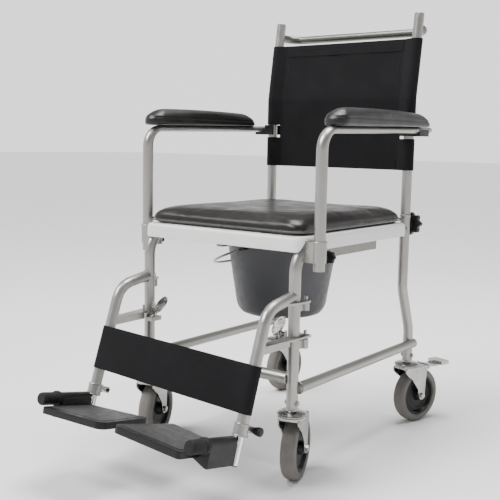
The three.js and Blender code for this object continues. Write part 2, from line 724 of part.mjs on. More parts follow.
// The inner tube runs down past the axle, which is fixed across its front.
function footrestTube() {
  const top = axleStart.clone().addScaledVector(hangerDown, -122);
  const inner = rod(top, hangerAt(INNER_FOOT_Z), INNER_TUBE, 14);
  const axle = rod(axleStart, alongAxle(CAP[1] - 5), 5.5);
  return join(inner, axle);
}

function axleCap() {
  const ring = rod(alongAxle(HOUSING[1] + 1), alongAxle(CAP[0]), 14.5, 16);
  const grip = rod(alongAxle(CAP[0] - 1), alongAxle(CAP[1] - 2), 12, 16);
  const end = rod(alongAxle(CAP[1] - 2), alongAxle(CAP[1]), 12, 16, 10);
  return cut(join(ring, grip, end), rod(alongAxle(HOUSING[1]), alongAxle(CAP[1] - 4), 5.8));
}

// The footplate is drawn flat, its axle along -Y. It rests turned by its rise, and the axle is tilted up
// about its foot.
function footplate(rise) {
  const level = [-23, -11];
  const inner = -LEG_X + 14;
  const plate = new THREE.Shape();
  plate.moveTo(-12.5, -HOUSING[0]);
  plate.lineTo(-12.5, -130);
  plate.absarc(-20, -130, 7.5, 0, -Math.PI / 2, true);
  plate.lineTo(inner + 22, -137);
  plate.absarc(inner + 16, -137 + 16, 16, -Math.PI / 2, Math.PI, true);
  plate.lineTo(inner + 16, 0);
  plate.absarc(inner + 26, 0, 10, Math.PI, Math.PI / 2, true);
  const ribs = [];
  for (let y = -126; y <= -24; y += 17) {
    ribs.push(block([inner + 24, -24], [y, y + 4], [level[0] - 2, level[0] + 1]));
  }
  const section = new THREE.Shape();
  section.moveTo(-36, level[0]);
  section.lineTo(4, -37);
  section.lineTo(11, -37);
  section.absarc(-1, 0, 12, 0, Math.PI);
  section.lineTo(-13, -12);
  section.lineTo(-36, -12);
  const housing = slabAlongY(section, [-HOUSING[1], -HOUSING[0]]);
  const bore = rod(V(0, -HOUSING[0] + 5, 0), V(0, -HOUSING[1] - 5, 0), 5.9);
  const turn = new THREE.Matrix4().makeRotationX(-AXLE_TILT);
  return cut(join(slab(plate, level), ...ribs, housing), bore)
    .rotate([0, rise, 0])
    .transform(turn.elements)
    .translate(axleStart.x, axleStart.y, axleStart.z);
}

// The lever turns on a roller beside the leg; its oval paddle rises inboard of it.
function latchLever() {
  const z = 277.5;
  const screw = rod(V(LATCH_X, LATCH_Y, 269), V(LATCH_X, LATCH_Y, z + 1), 2.5, 10);
  const roller = rod(V(LATCH_X, LATCH_Y, z), V(LATCH_X, LATCH_Y, z + 16), 6);
  const hook = block([LATCH_X - 3, LATCH_X + 8], [LATCH_Y - 14, LATCH_Y], [z, z + 4.5]);
  const paddle = new THREE.Shape().absellipse(0, 0, 11, 21, 0, Math.PI * 2);
  const rise = new THREE.Matrix4().makeRotationX(THREE.MathUtils.degToRad(43));
  const place = V(LATCH_X - 13, LATCH_Y + 7, z + 25);
  const blade = slab(paddle, [-2, 2], 7).transform(rise.elements).translate(place.x, place.y, place.z);
  const arm = rod(V(LATCH_X, LATCH_Y, z + 12), V(place.x, place.y - 9, place.z - 9), 4, 8);
  return join(screw, roller, hook, arm, blade);
}

function clampKnob() {
  const middle = hangerAt((CLAMP_Z[0] + CLAMP_Z[1]) / 2);
  const at = (x) => V(LEG_X + x, middle.y + CLAMP_REACH, middle.z - CLAMP_DROP);
  return join(rod(at(8), at(24), 6.5, 16, 8.5), rod(at(-9), at(9), 3, 12));
}

// The calf strap runs round both hangers and hangs a little lower on the left. It opens in the middle, and
// each half goes with its own hanger.
function calfStraps() {
  const ring = (radius) => {
    const shape = new THREE.Shape();
    shape.absarc(LEG_X, 0, radius, -Math.PI / 2, Math.PI / 2);
    shape.absarc(-LEG_X, 0, radius, Math.PI / 2, Math.PI * 1.5);
    return shape;
  };
  const length = 85;
  const band = cut(slab(ring(13.6), [0, length], 7), slab(ring(11.9), [-1, length + 1], 7));
  const slope = new THREE.Matrix4().set(1, 0, 0, 0, 0, 1, 0, 0, -0.04, 0, 1, 0, 0, 0, 0, 1);
  const lean = new THREE.Matrix4().makeRotationX(-HANGER_LEAN);
  const foot = hangerAt(182);
  const placed = band.transform(slope.elements).transform(lean.elements).translate(0, foot.y, foot.z);
  const side = (x) => cut(placed, block(x, [-600, 0], [0, 400]));
  return { left: side([-400, GAP / 2]), right: side([-GAP / 2, 400]) };
}

function addFootrests() {
  addPair("footrest_hanger", hanger(), silverPaint);
  const lift = hangerDown.clone().multiplyScalar(-RIGHT_LIFT);
  for (const [name, shape, material] of [
    ["footrest_tube", footrestTube(), zinc],
    ["footplate_cap", axleCap(), blackRubber],
  ]) {
    addPair(name, shape, material).position.copy(lift);
  }
  add("footplate_left", footplate(LEFT_RISE), blackPlastic());
  add("footplate_right", footplate(RIGHT_RISE).mirror([1, 0, 0]).translate(lift.toArray()), blackPlastic());
  addPair("latch_lever", latchLever(), zinc);
  addPair("clamp_knob", clampKnob(), blackPlastic);
  const straps = calfStraps();
  add("calf_strap_left", straps.left, slingCloth());
  add("calf_strap_right", straps.right, slingCloth());
}

// ---- castors ----
const facetRadius = WHEEL / Math.cos(Math.PI / WHEEL_SIDES);

// Turns a wheel part's axis from Z to X and puts one facet of its rim on the floor.
function onAxle(geometry) {
  return geometry
    .rotateZ(Math.PI / WHEEL_SIDES)
    .rotateY(Math.PI / 2)
    .translate(0, TRAIL, WHEEL);
}

function tyre() {
  const h = TYRE_WIDTH / 2;
  const inner = 46.5;
  return onAxle(
    turned(
      [
        [inner, -h],
        [facetRadius - 5, -h],
        [facetRadius, -h + 7],
        [facetRadius, h - 7],
        [facetRadius - 5, h],
        [inner, h],
        [inner, -h],
      ],
      WHEEL_SIDES,
    ),
  );
}

function hub() {
  const h = TYRE_WIDTH / 2;
  const edge = 46.5 - GAP;
  return onAxle(
    turned(
      [
        [5.6, -h - 2],
        [12, -h - 2],
        [15, -h + 7],
        [38, -h + 7],
        [edge, -h + 1],
        [edge, h - 1],
        [38, h - 7],
        [15, h - 7],
        [12, h + 2],
        [5.6, h + 2],
        [5.6, -h - 2],
      ],
      WHEEL_SIDES,
    ),
  );
}

// The swivelling housing: head, two cheeks that narrow to the axle, the axle and the stem.
function castorFork() {
  const cheekX = TYRE_WIDTH / 2 + 5;
  const cheek = new THREE.Shape();
  cheek.moveTo(TRAIL - 8, WHEEL - 3);
  cheek.absarc(TRAIL, WHEEL, 9, Math.PI * 1.15, Math.PI * 2);
  cheek.lineTo(TRAIL + 15, 133);
  cheek.lineTo(-22, 133);
  cheek.lineTo(-22, 124);
  cheek.lineTo(-2, 112);
  const bridge = block([-cheekX, cheekX], [-22, TRAIL + 15], [129.5, 133]);
  const axle = rod(V(-cheekX - 3, TRAIL, WHEEL), V(cheekX + 3, TRAIL, WHEEL), 5, 10);
  const nut = (side) => rod(V(side * cheekX, TRAIL, WHEEL), V(side * (cheekX + 4), TRAIL, WHEEL), 7, 6);
  return join(
    slabAlongX(cheek, [-cheekX - 1.2, -cheekX + 1.8], 3),
    slabAlongX(cheek, [cheekX - 1.8, cheekX + 1.2], 3),
    bridge,
    axle,
    nut(-1),
    nut(1),
    rod(V(0, 0, 131), V(0, 0, 138), 27, 16, 29),
    rod(V(0, 0, 138), V(0, 0, 144), 29, 16, 22),
    rod(V(0, 0, 143), V(0, 0, LEG_FOOT_Z - 0.4), 9, 12),
    rod(V(0, 0, LEG_FOOT_Z - 1), V(0, 0, LEG_FOOT_Z + 7), 5, 10),
  );
}

// Two ears behind the housing of a braked castor hold the pedal's cross pin.
function pedalPin() {
  const ear = (x) => block(x, [TRAIL + 10, PEDAL_PIVOT.y + 6], [PEDAL_PIVOT.z - 6, PEDAL_PIVOT.z + 4]);
  const pin = rod(V(-18, PEDAL_PIVOT.y, PEDAL_PIVOT.z), V(18, PEDAL_PIVOT.y, PEDAL_PIVOT.z), 2.5, 8);
  return join(ear([15.8, 18.5]), ear([-18.5, -15.8]), pin);
}

// The pedal turns on that pin and ends in a wide raised pad.
function brakePedal() {
  const { y, z } = PEDAL_PIVOT;
  const profile = outline([
    [y, z - 2],
    [y + 36, z - 5],
    [y + 46, z - 4],
    [y + 70, z + 1],
    [y + 70, z + 4],
    [y + 44, z],
    [y + 36, z - 1],
    [y, z + 2.5],
  ]);
  const eye = rod(V(-15, y, z), V(15, y, z), 5, 12);
  const bore = rod(V(-16, y, z), V(16, y, z), 3, 12);
  const pad = block([-21, 21], [y + 44, y + 70], [z - 3, z + 5]);
  return cut(join(slabAlongX(profile, [-15, 15]), eye, pad), bore);
}

function addCastor(place, x, y, swivel, braked) {
  const castor = new THREE.Group();
  castor.position.set(x, y, 0);
  castor.rotation.z = -THREE.MathUtils.degToRad(swivel);
  chair.add(castor);
  add("castor_fork_" + place, braked ? join(castorFork(), pedalPin()) : castorFork(), zinc(), castor);
  add("castor_tyre_" + place, tyre(), treadRubber(), castor);
  add("castor_hub_" + place, hub(), blackPlastic(), castor);
  if (braked) add("brake_pedal_" + place, brakePedal(), zinc(), castor);
}

// The castors rest at slightly different swivels, as they stop when the chair is pushed into place.
function addCastors() {
  addCastor("front_left", LEG_X, FRONT_Y, -18, false);
  addCastor("front_right", -LEG_X, FRONT_Y, -18, false);
  addCastor("rear_left", LEG_X, REAR_Y, 16, true);
  addCastor("rear_right", -LEG_X, REAR_Y, 2, true);
}

addFrame();
addSeat();
addBack();
addArmrests();
addPan();
addFootrests();
addCastors();

// The origin is on the floor, under the middle of the whole chair.
chair.updateMatrixWorld(true);
const extent = new THREE.Box3().setFromObject(chair, true);
const middle = extent.getCenter(V(0, 0, 0));
chair.position.set(-middle.x, -middle.y, -extent.min.z);
chair.updateMatrixWorld(true);

export default chair;
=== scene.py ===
"""The look of a wheeled commode chair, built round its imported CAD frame.

Lengths are millimetres in the frame of the castor stems (x to the sitter's left, y to the back, z up, the
middle of the four stems at x = y = 0), and Shape.mesh turns them into metres in the part's own frame.
"""

import json
from math import acos, atan2, ceil, cos, degrees, hypot, pi, radians, sin, tan

import bmesh
import bpy
import numpy as np
from mathutils import Matrix, Quaternion, Vector

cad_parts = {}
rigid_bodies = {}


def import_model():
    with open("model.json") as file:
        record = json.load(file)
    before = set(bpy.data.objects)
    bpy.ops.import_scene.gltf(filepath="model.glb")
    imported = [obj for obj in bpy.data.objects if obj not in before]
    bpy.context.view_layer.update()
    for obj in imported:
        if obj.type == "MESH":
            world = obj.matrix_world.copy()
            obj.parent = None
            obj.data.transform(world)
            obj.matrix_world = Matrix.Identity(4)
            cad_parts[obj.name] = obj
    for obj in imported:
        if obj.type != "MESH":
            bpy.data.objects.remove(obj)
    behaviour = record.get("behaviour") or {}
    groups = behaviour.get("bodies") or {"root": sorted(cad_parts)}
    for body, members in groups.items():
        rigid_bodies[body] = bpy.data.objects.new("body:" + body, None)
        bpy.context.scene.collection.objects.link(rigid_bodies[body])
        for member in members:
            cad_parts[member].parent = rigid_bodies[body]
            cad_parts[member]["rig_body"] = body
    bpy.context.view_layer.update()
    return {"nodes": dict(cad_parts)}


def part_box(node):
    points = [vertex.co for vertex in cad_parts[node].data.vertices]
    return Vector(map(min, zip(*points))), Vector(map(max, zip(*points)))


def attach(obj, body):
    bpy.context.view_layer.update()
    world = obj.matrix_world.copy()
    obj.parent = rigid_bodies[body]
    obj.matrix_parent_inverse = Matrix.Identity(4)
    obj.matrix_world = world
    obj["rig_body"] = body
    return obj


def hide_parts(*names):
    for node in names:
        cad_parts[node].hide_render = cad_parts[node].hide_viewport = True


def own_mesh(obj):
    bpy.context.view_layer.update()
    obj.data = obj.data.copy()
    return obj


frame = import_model()

# ---- driving dimensions, as in the CAD ----
TUBE = 11  # radius of the frame's tubes
LEG_X = 184.5
FRONT_Y = -236
REAR_Y = 236
BACK_Y = 197
LEG_FOOT_Z = 148.5
SEAT_RAIL_Z = 455
LOWER_RAIL_X = 193.5
LOWER_RAIL_Z = 188.5
FRONT_CROSS_Z = 205
JOINT_Z = 489
SKIRT_X = 199
BOARD_Y = (-241, 186)
SKIRT_FOOT_Z = 444
DECK_Z = 468
BOARD_TOP_Z = 472.5
BACK_TOP_Z = 930
RECLINE_Z = 745
RECLINE = radians(8.5)
SLING_Z = (587, 875)
PUSH_BAR_Z = 898
POST_X = 217.5
POST_Y = -208
POST_FOOT_Z = 409
ARM_FRONT_Z = 668
ARM_REAR = (209, 239, 676)
ARM_BEND = 38
ARM_FLAT = 0.64  # how flat the armrest's tube is pressed
PAD_X = 219
PAD_FOOT_Z = 677
SOCKET_Z = (425, 464)
KNOB_Z = 467
PAN_Y = -15
PAN_RIM_Z = 431
EDGE = 8  # the radius along the seat board's upper edge
WHEEL = 62.5
TYRE_WIDTH = 30
TRAIL = 33  # from a castor's stem back to its axle
BRIDGE_Z = (129, 133)  # the plate that joins a castor's cheeks
HINGE = (194, -212)
HANGER_TOP_Z = 361
LOWER_ARM_Z = 284
HANGER_KNEE = (-321.5, 349)
HANGER_LEAN = radians(19.4)
AXLE_Z = 129
RIGHT_LIFT = 5  # how much higher the right footrest is set
FOOT_RISE = {"left": 4, "right": 1}  # degrees from level at which each footplate rests
AXLE_TILT = radians(12)
CLAMP_Z = (139, 160)
SWIVEL = {"front_left": -18, "front_right": -18, "rear_left": 16, "rear_right": 2}  # degrees

# The stems' frame stands this far behind the part's own origin.
cross_low, cross_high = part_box("front_cross_tube")
SHIFT_Y = 500 * (cross_low.y + cross_high.y) - FRONT_Y
SIDES = ("left", "right")
OUTWARD = {"left": 1, "right": -1}


# ---- shapes ----
class Shape:
    """Points in millimetres and the faces between them."""

    def __init__(self, points=(), faces=()):
        self.points = [Vector(p) for p in points]
        self.faces = [tuple(f) for f in faces]

    def __add__(self, other):
        shift = len(self.points)
        faces = [tuple(i + shift for i in f) for f in other.faces]
        return Shape(self.points + other.points, self.faces + faces)

    def moved(self, matrix):
        return Shape([matrix @ p for p in self.points], self.faces)

    def shifted(self, x, y, z):
        return self.moved(Matrix.Translation((x, y, z)))

    def mirrored(self):
        return Shape([(-p.x, p.y, p.z) for p in self.points], [f[::-1] for f in self.faces])

    def mesh(self, name):
        mesh = bpy.data.meshes.new(name)
        points = [(p.x * 0.001, (p.y + SHIFT_Y) * 0.001, p.z * 0.001) for p in self.points]
        mesh.from_pydata(points, [], self.faces)
        return mesh


def both(shape):
    """The shape and its mirror image in one."""
    return shape + shape.mirrored()


def raised(outline, z):
    """An outline's [x, y] pairs as points at a height."""
    return [Vector((x, y, z)) for x, y in outline]


def lofted(rings, closed=False):
    """A skin over rings of equally many points; closed joins the last ring to the first."""
    count = len(rings[0])
    faces = []
    last = len(rings) if closed else len(rings) - 1
    for i in range(last):
        a, b = i * count, (i + 1) % len(rings) * count
        for k in range(count):
            n = (k + 1) % count
            faces.append((a + k, a + n, b + n, b + k))
    if not closed:
        top = (len(rings) - 1) * count
        faces.append(tuple(range(count))[::-1])
        faces.append(tuple(range(top, top + count)))
    return Shape([p for ring in rings for p in ring], faces)


def circle(radius, sides):
    turns = [2 * pi * k / sides for k in range(sides)]
    return [(radius * cos(turn), radius * sin(turn)) for turn in turns]


def swept(path, radius, sides=32, edge=0.7):
    """A round bar along a path of points, its ends rounded off by edge."""
    path = [Vector(p) for p in path]
    along = [(b - a).normalized() for a, b in zip(path, path[1:])]
    heading = [along[0]] + [(a + b).normalized() for a, b in zip(along, along[1:])] + [along[-1]]
    side = heading[0].orthogonal().normalized()
    rings = []
    for i, (point, ahead) in enumerate(zip(path, heading)):
        if i:
            side = heading[i - 1].rotation_difference(ahead) @ side
        up = ahead.cross(side)
        layers = [(radius, 0)]
        if i == 0:
            layers = [(radius - edge, 0), (radius, edge)]
        elif i == len(path) - 1:
            layers = [(radius, -edge), (radius - edge, 0)]
        for r, shift in layers:
            rings.append([point + ahead * shift + side * a + up * b for a, b in circle(r, sides)])
    return lofted(rings)


def rounded_path(corners, bend, step=radians(6)):
    """The corners of a polyline rounded to the bend radius."""
    corners = [Vector(c) for c in corners]
    path = [corners[0]]
    for before, here, after in zip(corners, corners[1:], corners[2:]):
        into = (here - before).normalized()
        out = (after - here).normalized()
        turn = into.angle(out)
        start = here - into * bend * tan(turn / 2)
        normal = into.cross(out).normalized()
        centre = start + normal.cross(into) * bend
        steps = max(3, ceil(turn / step))
        for k in range(steps + 1):
            path.append(centre + Quaternion(normal, turn * k / steps) @ (start - centre))
    return path + [corners[-1]]


def tube(corners, radius=TUBE, bend=0.0, sides=32):
    return swept(rounded_path(corners, bend), radius, sides)


def rod(start, end, radius, sides=28, edge=0.5):
    return swept([start, end], radius, sides, edge)


def turned(profile, sides=64, closed=False):
    """A solid of revolution about Z, from [radius, height] pairs; a closed profile makes a ring."""
    return lofted([raised(circle(max(r, 0.01), sides), h) for r, h in profile], closed)


def prism(outline, low, high, edge=0.6):
    """An outline in X and Y, drawn up from low to high, its edges rounded."""
    return softened(lofted([raised(outline, low), raised(outline, high)]), edge)


def box(x, y, z, edge=0.6):
    return prism([(x[0], y[0]), (x[1], y[0]), (x[1], y[1]), (x[0], y[1])], z[0], z[1], edge)


def editable(mesh, merge):
    """A mesh opened for editing, its points nearer than merge made one."""
    bm = bmesh.new()
    bm.from_mesh(mesh)
    bmesh.ops.remove_doubles(bm, verts=bm.verts, dist=merge)
    return bm


def round_edges(bm, width, sharpest):
    """Rounds by width the edges that turn by more than an angle in degrees."""
    turning = [e for e in bm.edges if e.is_manifold and e.calc_face_angle(0) > radians(sharpest)]
    rounding = {"segments": 2, "affect": "EDGES", "profile": 0.6, "clamp_overlap": True}
    bmesh.ops.bevel(bm, geom=turning, offset=width, **rounding)


def softened(shape, width):
    """The shape with its sharp edges rounded by width."""
    mesh = bpy.data.meshes.new("softened")
    mesh.from_pydata([p[:] for p in shape.points], [], shape.faces)
    bm = editable(mesh, 1e-4)
    bmesh.ops.recalc_face_normals(bm, faces=bm.faces)
    round_edges(bm, width, 35)
    made = Shape([v.co.copy() for v in bm.verts], [[v.index for v in f.verts] for f in bm.faces])
    bm.free()
    bpy.data.meshes.remove(mesh)
    return made


def arc(centre, radius, start, end, steps=10):
    """Points of an arc, its angles in degrees."""
    points = []
    for k in range(steps + 1):
        angle = radians(start + (end - start) * k / steps)
        points.append((centre[0] + radius * cos(angle), centre[1] + radius * sin(angle)))
    return points


def rounded_rectangle(x, y, radius, steps=8):
    points = []
    for cx, cy, start in ((x[1], y[1], 0), (x[0], y[1], 90), (x[0], y[0], 180), (x[1], y[0], 270)):
        centre = (cx - radius if cx == x[1] else cx + radius, cy - radius if cy == y[1] else cy + radius)
        points += arc(centre, radius, start, start + 90, steps)
    return points


# Turns of a shape drawn on Z: its axis along X, along Y, and to the front with its outline upright.
ALONG_X = Matrix(((0, 0, 1, 0), (1, 0, 0, 0), (0, 1, 0, 0), (0, 0, 0, 1)))
ALONG_Y = Matrix(((1, 0, 0, 0), (0, 0, 1, 0), (0, -1, 0, 0), (0, 0, 0, 1)))
OUTLINE_ALONG_Y = Matrix(((1, 0, 0, 0), (0, 0, -1, 0), (0, 1, 0, 0), (0, 0, 0, 1)))


def standing(place, direction):
    """The move that stands a shape drawn on Z at a place, along a direction."""
    turn = Vector((0, 0, 1)).rotation_difference(Vector(direction))
    return Matrix.Translation(place) @ turn.to_matrix().to_4x4()


def bolt(start, outward, radius=4.6, height=4):
    """A hexagonal head with a shallow dome, standing on a washer at start."""
    rim = radius * 0.8
    profile = [[0, height + 0.9], [radius * 0.5, height + 0.6], [rim, height], [rim, height - 0.5]]
    dome = turned(profile + [[0, height - 0.5]], 24)
    washer = turned([[0, 0.8], [radius * 1.35, 0.8], [radius * 1.35, 0], [0, 0]], 28)
    head = prism(circle(radius, 6), 0.6, height, 0.4)
    return (head + dome + washer).moved(standing(start, outward))


def lobed(radius, lobes, depth, layers, sides):
    """A knob's body from layers of [scale, height]; the wide layers have lobes of a relative depth."""
    rings = []
    for scale, height in layers:
        ring = []
        for k in range(sides):
            angle = 2 * pi * k / sides
            lobe = 1 - depth + depth * cos(angle * lobes) if scale > 0.6 else 1
            reach = radius * scale * lobe
            ring.append(Vector((reach * cos(angle), reach * sin(angle), height)))
        rings.append(ring)
    return lofted(rings)


# ---- pieces ----
def linked(name, data):
    """An object in the scene that holds a mesh, a lamp or the camera."""
    made = bpy.data.objects.new(name, data)
    bpy.context.scene.collection.objects.link(made)
    return made


def shaded_smooth(mesh, material):
    for face in mesh.polygons:
        face.use_smooth = True
    mesh.materials.clear()
    mesh.materials.append(material)


def placed(piece, body, replaces=()):
    """Puts a piece on its body, and in the place of the CAD nodes that it stands for."""
    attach(piece, body)
    if replaces:
        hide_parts(*replaces)
    return piece


def finished(name, mesh, body, material, replaces=(), sharp=38):
    """A piece from a mesh: smooth, but sharp where it turns by more than an angle in degrees."""
    bm = editable(mesh, 1e-6)
    bmesh.ops.recalc_face_normals(bm, faces=bm.faces)
    bm.to_mesh(mesh)
    bm.free()
    shaded_smooth(mesh, material)
    mesh.set_sharp_from_angle(angle=radians(sharp))
    piece = linked(name, mesh)
    flat_faces = piece.modifiers.new("flat_faces", "WEIGHTED_NORMAL")
    flat_faces.keep_sharp = True
    return placed(piece, body, replaces)


def add(name, shape, body, slot, replaces=(), material=None):
    return finished(name, shape.mesh(name), body, material or look[slot], replaces)


def add_pair(name, shape, body, slot, node="", material=None, lift=None):
    """A left piece and its mirror image; {side} in the names becomes left and right."""
    for side in SIDES:
        here = shape if side == "left" else shape.mirrored()
        if lift and side == "right":
            here = here.moved(Matrix.Translation(lift))
        nodes = [node.format(side=side)] if node else []
        add(name + "_" + side, here, body.format(side=side), slot, nodes, material)


def refined(node, slot, width=0.6):
    """A CAD node's shape with its flat facets merged and its edges rounded."""
    source = frame["nodes"][node]
    mesh = source.data.copy()
    bm = editable(mesh, 2e-5)
    bmesh.ops.dissolve_limit(bm, angle_limit=radians(1.5), verts=bm.verts, edges=bm.edges)
    round_edges(bm, width * 0.001, 42)
    bm.to_mesh(mesh)
    bm.free()
    for attribute in [a.name for a in mesh.attributes if a.name == "custom_normal"]:
        mesh.attributes.remove(mesh.attributes[attribute])
    return finished(node + "_look", mesh, source["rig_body"], look[slot], [node], sharp=44)


# ---- materials ----
def new_node(tree, kind, inputs, **settings):
    """A shader node; each input takes a value, or a link where another node's socket is given."""
    node = tree.nodes.new("ShaderNode" + kind)
    for setting, value in settings.items():
        setattr(node, setting, value)
    for name, value in inputs.items():
        if isinstance(value, bpy.types.NodeSocket):
            tree.links.new(value, node.inputs[name])
        else:
            node.inputs[name].default_value = value
    return node


class Finish:
    """A material on one Principled shader, given its detail step by step."""

    def __init__(self, name, colour, roughness, metallic=0.0, **sockets):
        self.material = bpy.data.materials.new(name)
        self.material.use_nodes = True
        self.material.diffuse_color = (*colour, 1)
        self.tree = self.material.node_tree
        self.inputs = self.tree.nodes["Principled BSDF"].inputs
        self.inputs["Base Color"].default_value = (*colour, 1)
        self.inputs["Roughness"].default_value = roughness
        self.inputs["Metallic"].default_value = metallic
        for socket, value in sockets.items():
            self.inputs[socket.replace("_", " ")].default_value = value
        self.place = new_node(self.tree, "TexCoord", {}).outputs["Object"]

    def noise(self, scale, detail=3.0, roughness=0.55):
        values = {"Vector": self.place, "Scale": scale, "Detail": detail, "Roughness": roughness}
        return new_node(self.tree, "TexNoise", values).outputs["Fac"]

    def cells(self, scale, feature="F1"):
        values = {"Vector": self.place, "Scale": scale}
        return new_node(self.tree, "TexVoronoi", values, feature=feature).outputs["Distance"]

    def ramped(self, factor, low, high):
        """Low to high over the middle of a texture's range."""
        values = {"Value": factor, "From Min": 0.3, "From Max": 0.7, "To Min": low, "To Max": high}
        return new_node(self.tree, "MapRange", values).outputs["Result"]

    def tinted(self, factor, other, amount):
        """Blends the base colour towards another one as factor goes from 0 to 1."""
        base = self.inputs["Base Color"]
        under = base.links[0].from_socket if base.is_linked else base.default_value[:]
        values = {"A": under, "B": (*other, 1), "Factor": self.ramped(factor, 0.0, amount)}
        mix = new_node(self.tree, "Mix", values, data_type="RGBA")
        self.tree.links.new(mix.outputs["Result"], base)
        return self

    def dulled(self, factor, low, high):
        """Roughness between low and high, as factor varies."""
        self.tree.links.new(self.ramped(factor, low, high), self.inputs["Roughness"])
        return self

    def bumped(self, height, strength, depth):
        """Relief of a depth in millimetres, over the relief that is there already."""
        values = {"Height": height, "Strength": strength, "Distance": depth * 0.001}
        normal = self.inputs["Normal"]
        if normal.is_linked:
            values["Normal"] = normal.links[0].from_socket
        self.tree.links.new(new_node(self.tree, "Bump", values).outputs["Normal"], normal)
        return self


def paint(name, colour, shade):
    """Silver powder coat: fine metallic flake, a faint orange peel and cloudy thickness."""
    made = Finish(name, colour, 0.34, 0.8, Coat_Weight=0.1, Coat_Roughness=0.25)
    made.tinted(made.noise(9, 4), shade, 0.35)
    made.tinted(made.cells(2600), tuple(min(1, c * 1.25) for c in colour), 0.18)
    made.dulled(made.noise(60), 0.3, 0.42)
    return made.bumped(made.noise(700, 2), 0.12, 0.12).material


def zinc(name, bright, dull):
    """Bright zinc plate: slightly uneven, with fine brushed grain."""
    made = Finish(name, bright, 0.22, 1.0)
    made.tinted(made.noise(35, 5), dull, 0.7)
    made.dulled(made.noise(120, 4), 0.12, 0.32)
    return made.bumped(made.noise(900, 2), 0.1, 0.08).material


def chrome(name):
    made = Finish(name, (0.8, 0.8, 0.8), 0.1, 1.0)
    made.dulled(made.noise(80, 4), 0.06, 0.18)
    return made.bumped(made.noise(400, 2), 0.05, 0.05).material


def moulded(name, colour, pale, roughness, stipple=0.25, **sockets):
    """Moulded plastic: a stippled skin with a few paler rubs."""
    made = Finish(name, colour, roughness, **sockets)
    made.tinted(made.noise(22, 6, 0.65), pale, 0.5)
    made.dulled(made.noise(75, 4), roughness - 0.08, roughness + 0.1)
    return made.bumped(made.cells(1100), stipple, 0.12).material


def rubber(name, colour, worn):
    made = Finish(name, colour, 0.72, Specular_IOR_Level=0.35)
    made.tinted(made.noise(45, 6, 0.7), worn, 0.7)
    made.dulled(made.noise(30, 3), 0.6, 0.85)
    return made.bumped(made.noise(520, 4), 0.25, 0.25).material


def vinyl(name, colour, pale, roughness):
    """Soft upholstery vinyl: a leather-like grain of small cells over gentle creases."""
    made = Finish(name, colour, roughness, Specular_IOR_Level=0.45, Sheen_Weight=0.02, Sheen_Roughness=0.45)
    made.tinted(made.noise(14, 6, 0.6), pale, 0.6)
    made.dulled(made.noise(26, 4), roughness - 0.07, roughness + 0.1)
    made.bumped(made.noise(38, 4, 0.6), 0.35, 1.6)
    made.bumped(made.cells(420, "DISTANCE_TO_EDGE"), 0.35, 0.25)
    return made.bumped(made.noise(1500, 2), 0.12, 0.08).material


THREAD_PITCH = 0.0016  # metres from thread to thread


def woven(name, colour, thread):
    """Close plain weave: raised warp and weft threads along the cloth's own width and length."""
    made = Finish(name, colour, 0.8, Specular_IOR_Level=0.15, Sheen_Weight=0.04, Sheen_Roughness=0.5)
    cloth = new_node(made.tree, "UVMap", {}).outputs["UV"]
    bands = 2 * pi / (20 * THREAD_PITCH)
    values = {"Vector": cloth, "Scale": bands, "Distortion": 0.6, "Detail": 1.0}
    warp, weft = (new_node(made.tree, "TexWave", values, bands_direction=d).outputs["Fac"] for d in "XY")
    weave = new_node(made.tree, "Math", {0: warp, 1: weft}, operation="MAXIMUM").outputs["Value"]
    made.tinted(weave, thread, 0.7)
    made.tinted(made.noise(16, 5, 0.6), tuple(c * 0.6 for c in colour), 0.6)
    made.bumped(made.noise(30, 3), 0.2, 1.0)
    return made.bumped(weave, 0.4, 0.25).material


def grey(level):
    return (level, level, level)


BLACK, WORN_BLACK = grey(0.004), grey(0.012)
look = {
    "silver_paint": paint("silver_powder_coat", (0.37, 0.358, 0.34), (0.26, 0.25, 0.235)),
    "grey_paint": paint("olive_grey_powder_coat", (0.13, 0.13, 0.115), (0.1, 0.1, 0.09)),
    "zinc": zinc("zinc_plate", (0.47, 0.465, 0.45), (0.27, 0.27, 0.26)),
    "black_plastic": moulded(
        "black_moulding", (0.004, 0.004, 0.0045), WORN_BLACK, 0.4, Specular_IOR_Level=0.3
    ),
    "black_rubber": rubber("black_rubber", BLACK, WORN_BLACK),
    "grey_plastic": moulded("grey_pan", (0.036, 0.036, 0.041), (0.05, 0.05, 0.055), 0.45, 0.12),
    "white_plastic": moulded("white_board", (0.83, 0.83, 0.82), (0.77, 0.77, 0.76), 0.38, 0.08),
    "beige_plastic": moulded("warm_grey_rail", (0.26, 0.245, 0.225), (0.31, 0.295, 0.27), 0.5, 0.2),
    "tyre": rubber("grey_tyre", (0.135, 0.125, 0.115), (0.18, 0.168, 0.155)),
    "hub": moulded("castor_hub", BLACK, WORN_BLACK, 0.4, Specular_IOR_Level=0.3),
    "vinyl": vinyl("seat_vinyl", (0.0055, 0.0043, 0.0037), (0.011, 0.0088, 0.0076), 0.36),
    "sling_cloth": woven("black_weave", (0.0035, 0.0035, 0.0042), (0.011, 0.011, 0.013)),
}
chrome_look = chrome("chrome")
dark_plug = moulded("tube_plug", BLACK, WORN_BLACK, 0.5)
thread_look = moulded("stitching", (0.014, 0.014, 0.015), (0.03, 0.03, 0.032), 0.7)
# The piping's vinyl is paler than the cushion's: a painted highlight along the round cord.
piping_highlight_look = vinyl("piping_vinyl_painted_highlight", (0.05, 0.046, 0.043), (0.075, 0.07, 0.066), 0.3)
# The bail is zinc wire, made much darker than the zinc plate as painted shade.
shaded_wire_look = zinc("bail_wire_painted_shade", grey(0.14), (0.07, 0.07, 0.075))
pad_look = vinyl("pad_vinyl", (0.008, 0.0076, 0.0072), (0.014, 0.0133, 0.013), 0.38)
# The tread is lighter grey than the black moulding: painted sheen on the footplate's top, over its real
# pebbled relief.
tread_painted_sheen_look = moulded("footplate_tread", (0.018, 0.018, 0.0185), (0.03, 0.03, 0.031), 0.5, 0.8)


